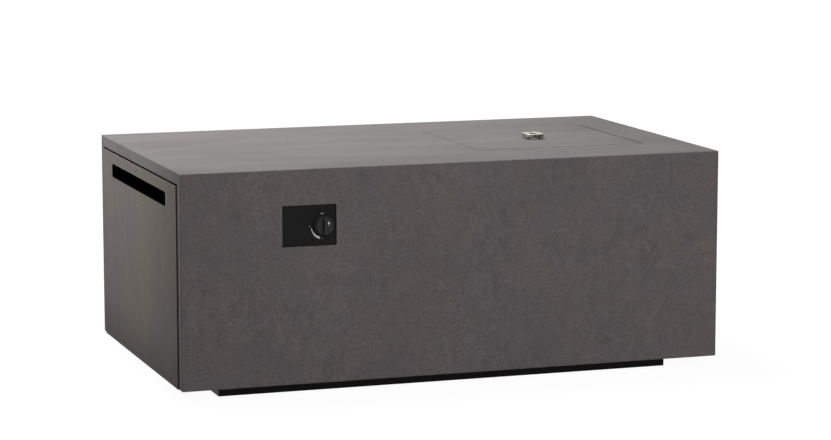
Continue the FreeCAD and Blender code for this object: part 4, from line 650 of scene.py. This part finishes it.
def flameDrop():
    # A teardrop: the points of a circle, drawn in by the square of their height and raised by a power of it.
    turn = np.arange(marks["flameSteps"]) * 2 * math.pi / marks["flameSteps"]
    rise = (1 + np.sin(turn)) / 2
    across = np.cos(turn) * (1 - rise ** 2) ** 0.5 * marks["flameWide"] / 2 + marks["flamePlace"][0]
    up = (rise ** marks["flamePower"] - 0.5) * marks["flameTall"] + marks["flamePlace"][1]
    return raisedOutline(across * mm, up * mm, knobFace)


def makeMarks():
    letters("offMark", "OFF", marks["offPlace"], marks["letterMm"], plateFace, "root")
    letters("lowMark", "LO", marks["lowPlace"], marks["smallLetterMm"], plateFace, "root")
    letters("highMark", "HI", marks["highPlace"], marks["smallLetterMm"], plateFace, "root")
    makePiece("flameScale", *flameArc(), ink, "root", "control_black", smooth=False)
    makePiece("flameMark", *flameDrop(), ink, "knob", "knob_plastic", smooth=False)
    letters("lightMark", "ON", marks["onPlace"], marks["smallLetterMm"], knobFace, "knob")
    print("dial marks printed")


makeMarks()

# A large soft box overhead lights the top. Two keys on the right light the front, a low broad one and a steep
# one that throws the knob's shadow down, and a small box close on the left makes the end fade downwards.
lamps = {"overhead": {"place": (-0.35, 0.6, 2.5), "aim": (0, 0, 0.6), "size": (1.8, 1.2), "watts": 49.2},
         "lowKey": {"place": (0.6, -5.5, 2.6), "aim": (0, -0.4, 0.3), "size": (2.0, 1.6), "watts": 118},
         "steepKey": {"place": (2.4, -3.2, 5.2), "aim": (0, -0.3, 0.4), "size": (1.4, 1.4), "watts": 39},
         "left": {"place": (-1.6, 0.3, 0.85), "aim": (-0.8, 0.15, 0.45), "size": (0.9, 0.3), "watts": 6.9}}
# Metal sees white all round but for the camera's side of the studio, which is dim: skyTurn and floorReach say
# where that starts and ends. The floor glows white, a little less near the table, so it keeps the shadow.
room = {"fill": "#a9a9aa", "fillStrength": 0.14, "dimSide": (0.4, -0.92, 0), "dim": 0.2,
        "skyTurn": (0.45, 0.85), "floorReach": (0.8, 2.4), "floor": "#6f6f6f", "floorSize": 60,
        "glow": (0.93, 1.0), "glowReach": (1.1, 2.2)}


def softBox(name, place, aim, size, watts):
    data = bpy.data.lights.new(name, "AREA")
    data.shape = "RECTANGLE"
    data.size, data.size_y = size
    data.energy = watts
    lamp = bpy.data.objects.new(name, data)
    lamp.location = place
    lamp.rotation_euler = (Vector(place) - Vector(aim)).to_track_quat("Z", "Y").to_euler()
    bpy.context.scene.collection.objects.link(lamp)


def seenDirectly(tree, towards, bright, dim):
    # How much white a ray is shown: all for one from the camera or through glass, none for soft light. One
    # from a mirror is shown less as it turns, or lands further, towards the dim side.
    rays = addNode(tree, "LightPath", out=None)
    side = addNode(tree, "VectorMath", (towards, room["dimSide"]), "Value", operation="DOT_PRODUCT")
    share = addNode(tree, "MapRange", (side, bright, dim, 1, room["dim"]))
    mirrored = addNode(tree, "Math", (rays["Is Glossy Ray"], share), operation="MULTIPLY")
    whole = (rays["Is Camera Ray"], rays["Is Transmission Ray"])
    straight = addNode(tree, "Math", whole, operation="MAXIMUM")
    return addNode(tree, "Math", (straight, mirrored), operation="MAXIMUM")


def makeRoom():
    world = bpy.data.worlds.new("room")
    bpy.context.scene.world = world
    world.use_nodes = True
    tree = world.node_tree
    tree.nodes.clear()
    shown = seenDirectly(tree, addNode(tree, "TexCoord", out="Generated"), *room["skyTurn"])
    fill = addNode(tree, "Background", (room["fill"], room["fillStrength"]))
    white = addNode(tree, "Background", {"Color": "#ffffff", "Strength": shown})
    lit = addNode(tree, "Math", (shown, 0), operation="GREATER_THAN")
    addNode(tree, "OutputWorld", (addNode(tree, "MixShader", (lit, fill, white)),), None)


def makeFloor():
    half = room["floorSize"] / 2
    corners = [[-half, -half, 0], [half, -half, 0], [half, half, 0], [-half, half, 0]]
    mesh = bpy.data.meshes.new("floor")
    mesh.from_pydata(corners, [], [[0, 1, 2, 3]])
    material = bpy.data.materials.new("pale_floor")
    material.use_nodes = True
    tree = material.node_tree
    tree.nodes.clear()
    place = addNode(tree, "TexCoord", out="Object")
    away = addNode(tree, "VectorMath", (place,), "Value", operation="LENGTH")
    glow = addNode(tree, "MapRange", (away, *room["glowReach"], *room["glow"]))
    shown = seenDirectly(tree, place, *room["floorReach"])
    paint = addNode(tree, "BsdfDiffuse", (room["floor"],))
    strength = addNode(tree, "Math", (shown, glow), operation="MULTIPLY")
    light = addNode(tree, "Emission", {"Strength": strength})
    addNode(tree, "OutputMaterial", (addNode(tree, "AddShader", (paint, light)),), None)
    mesh.materials.append(material)
    floor = bpy.data.objects.new("floor", mesh)
    bpy.context.scene.collection.objects.link(floor)


for name, lamp in lamps.items():
    softBox(name, **lamp)
makeRoom()
makeFloor()
print("lamps, room and floor set")
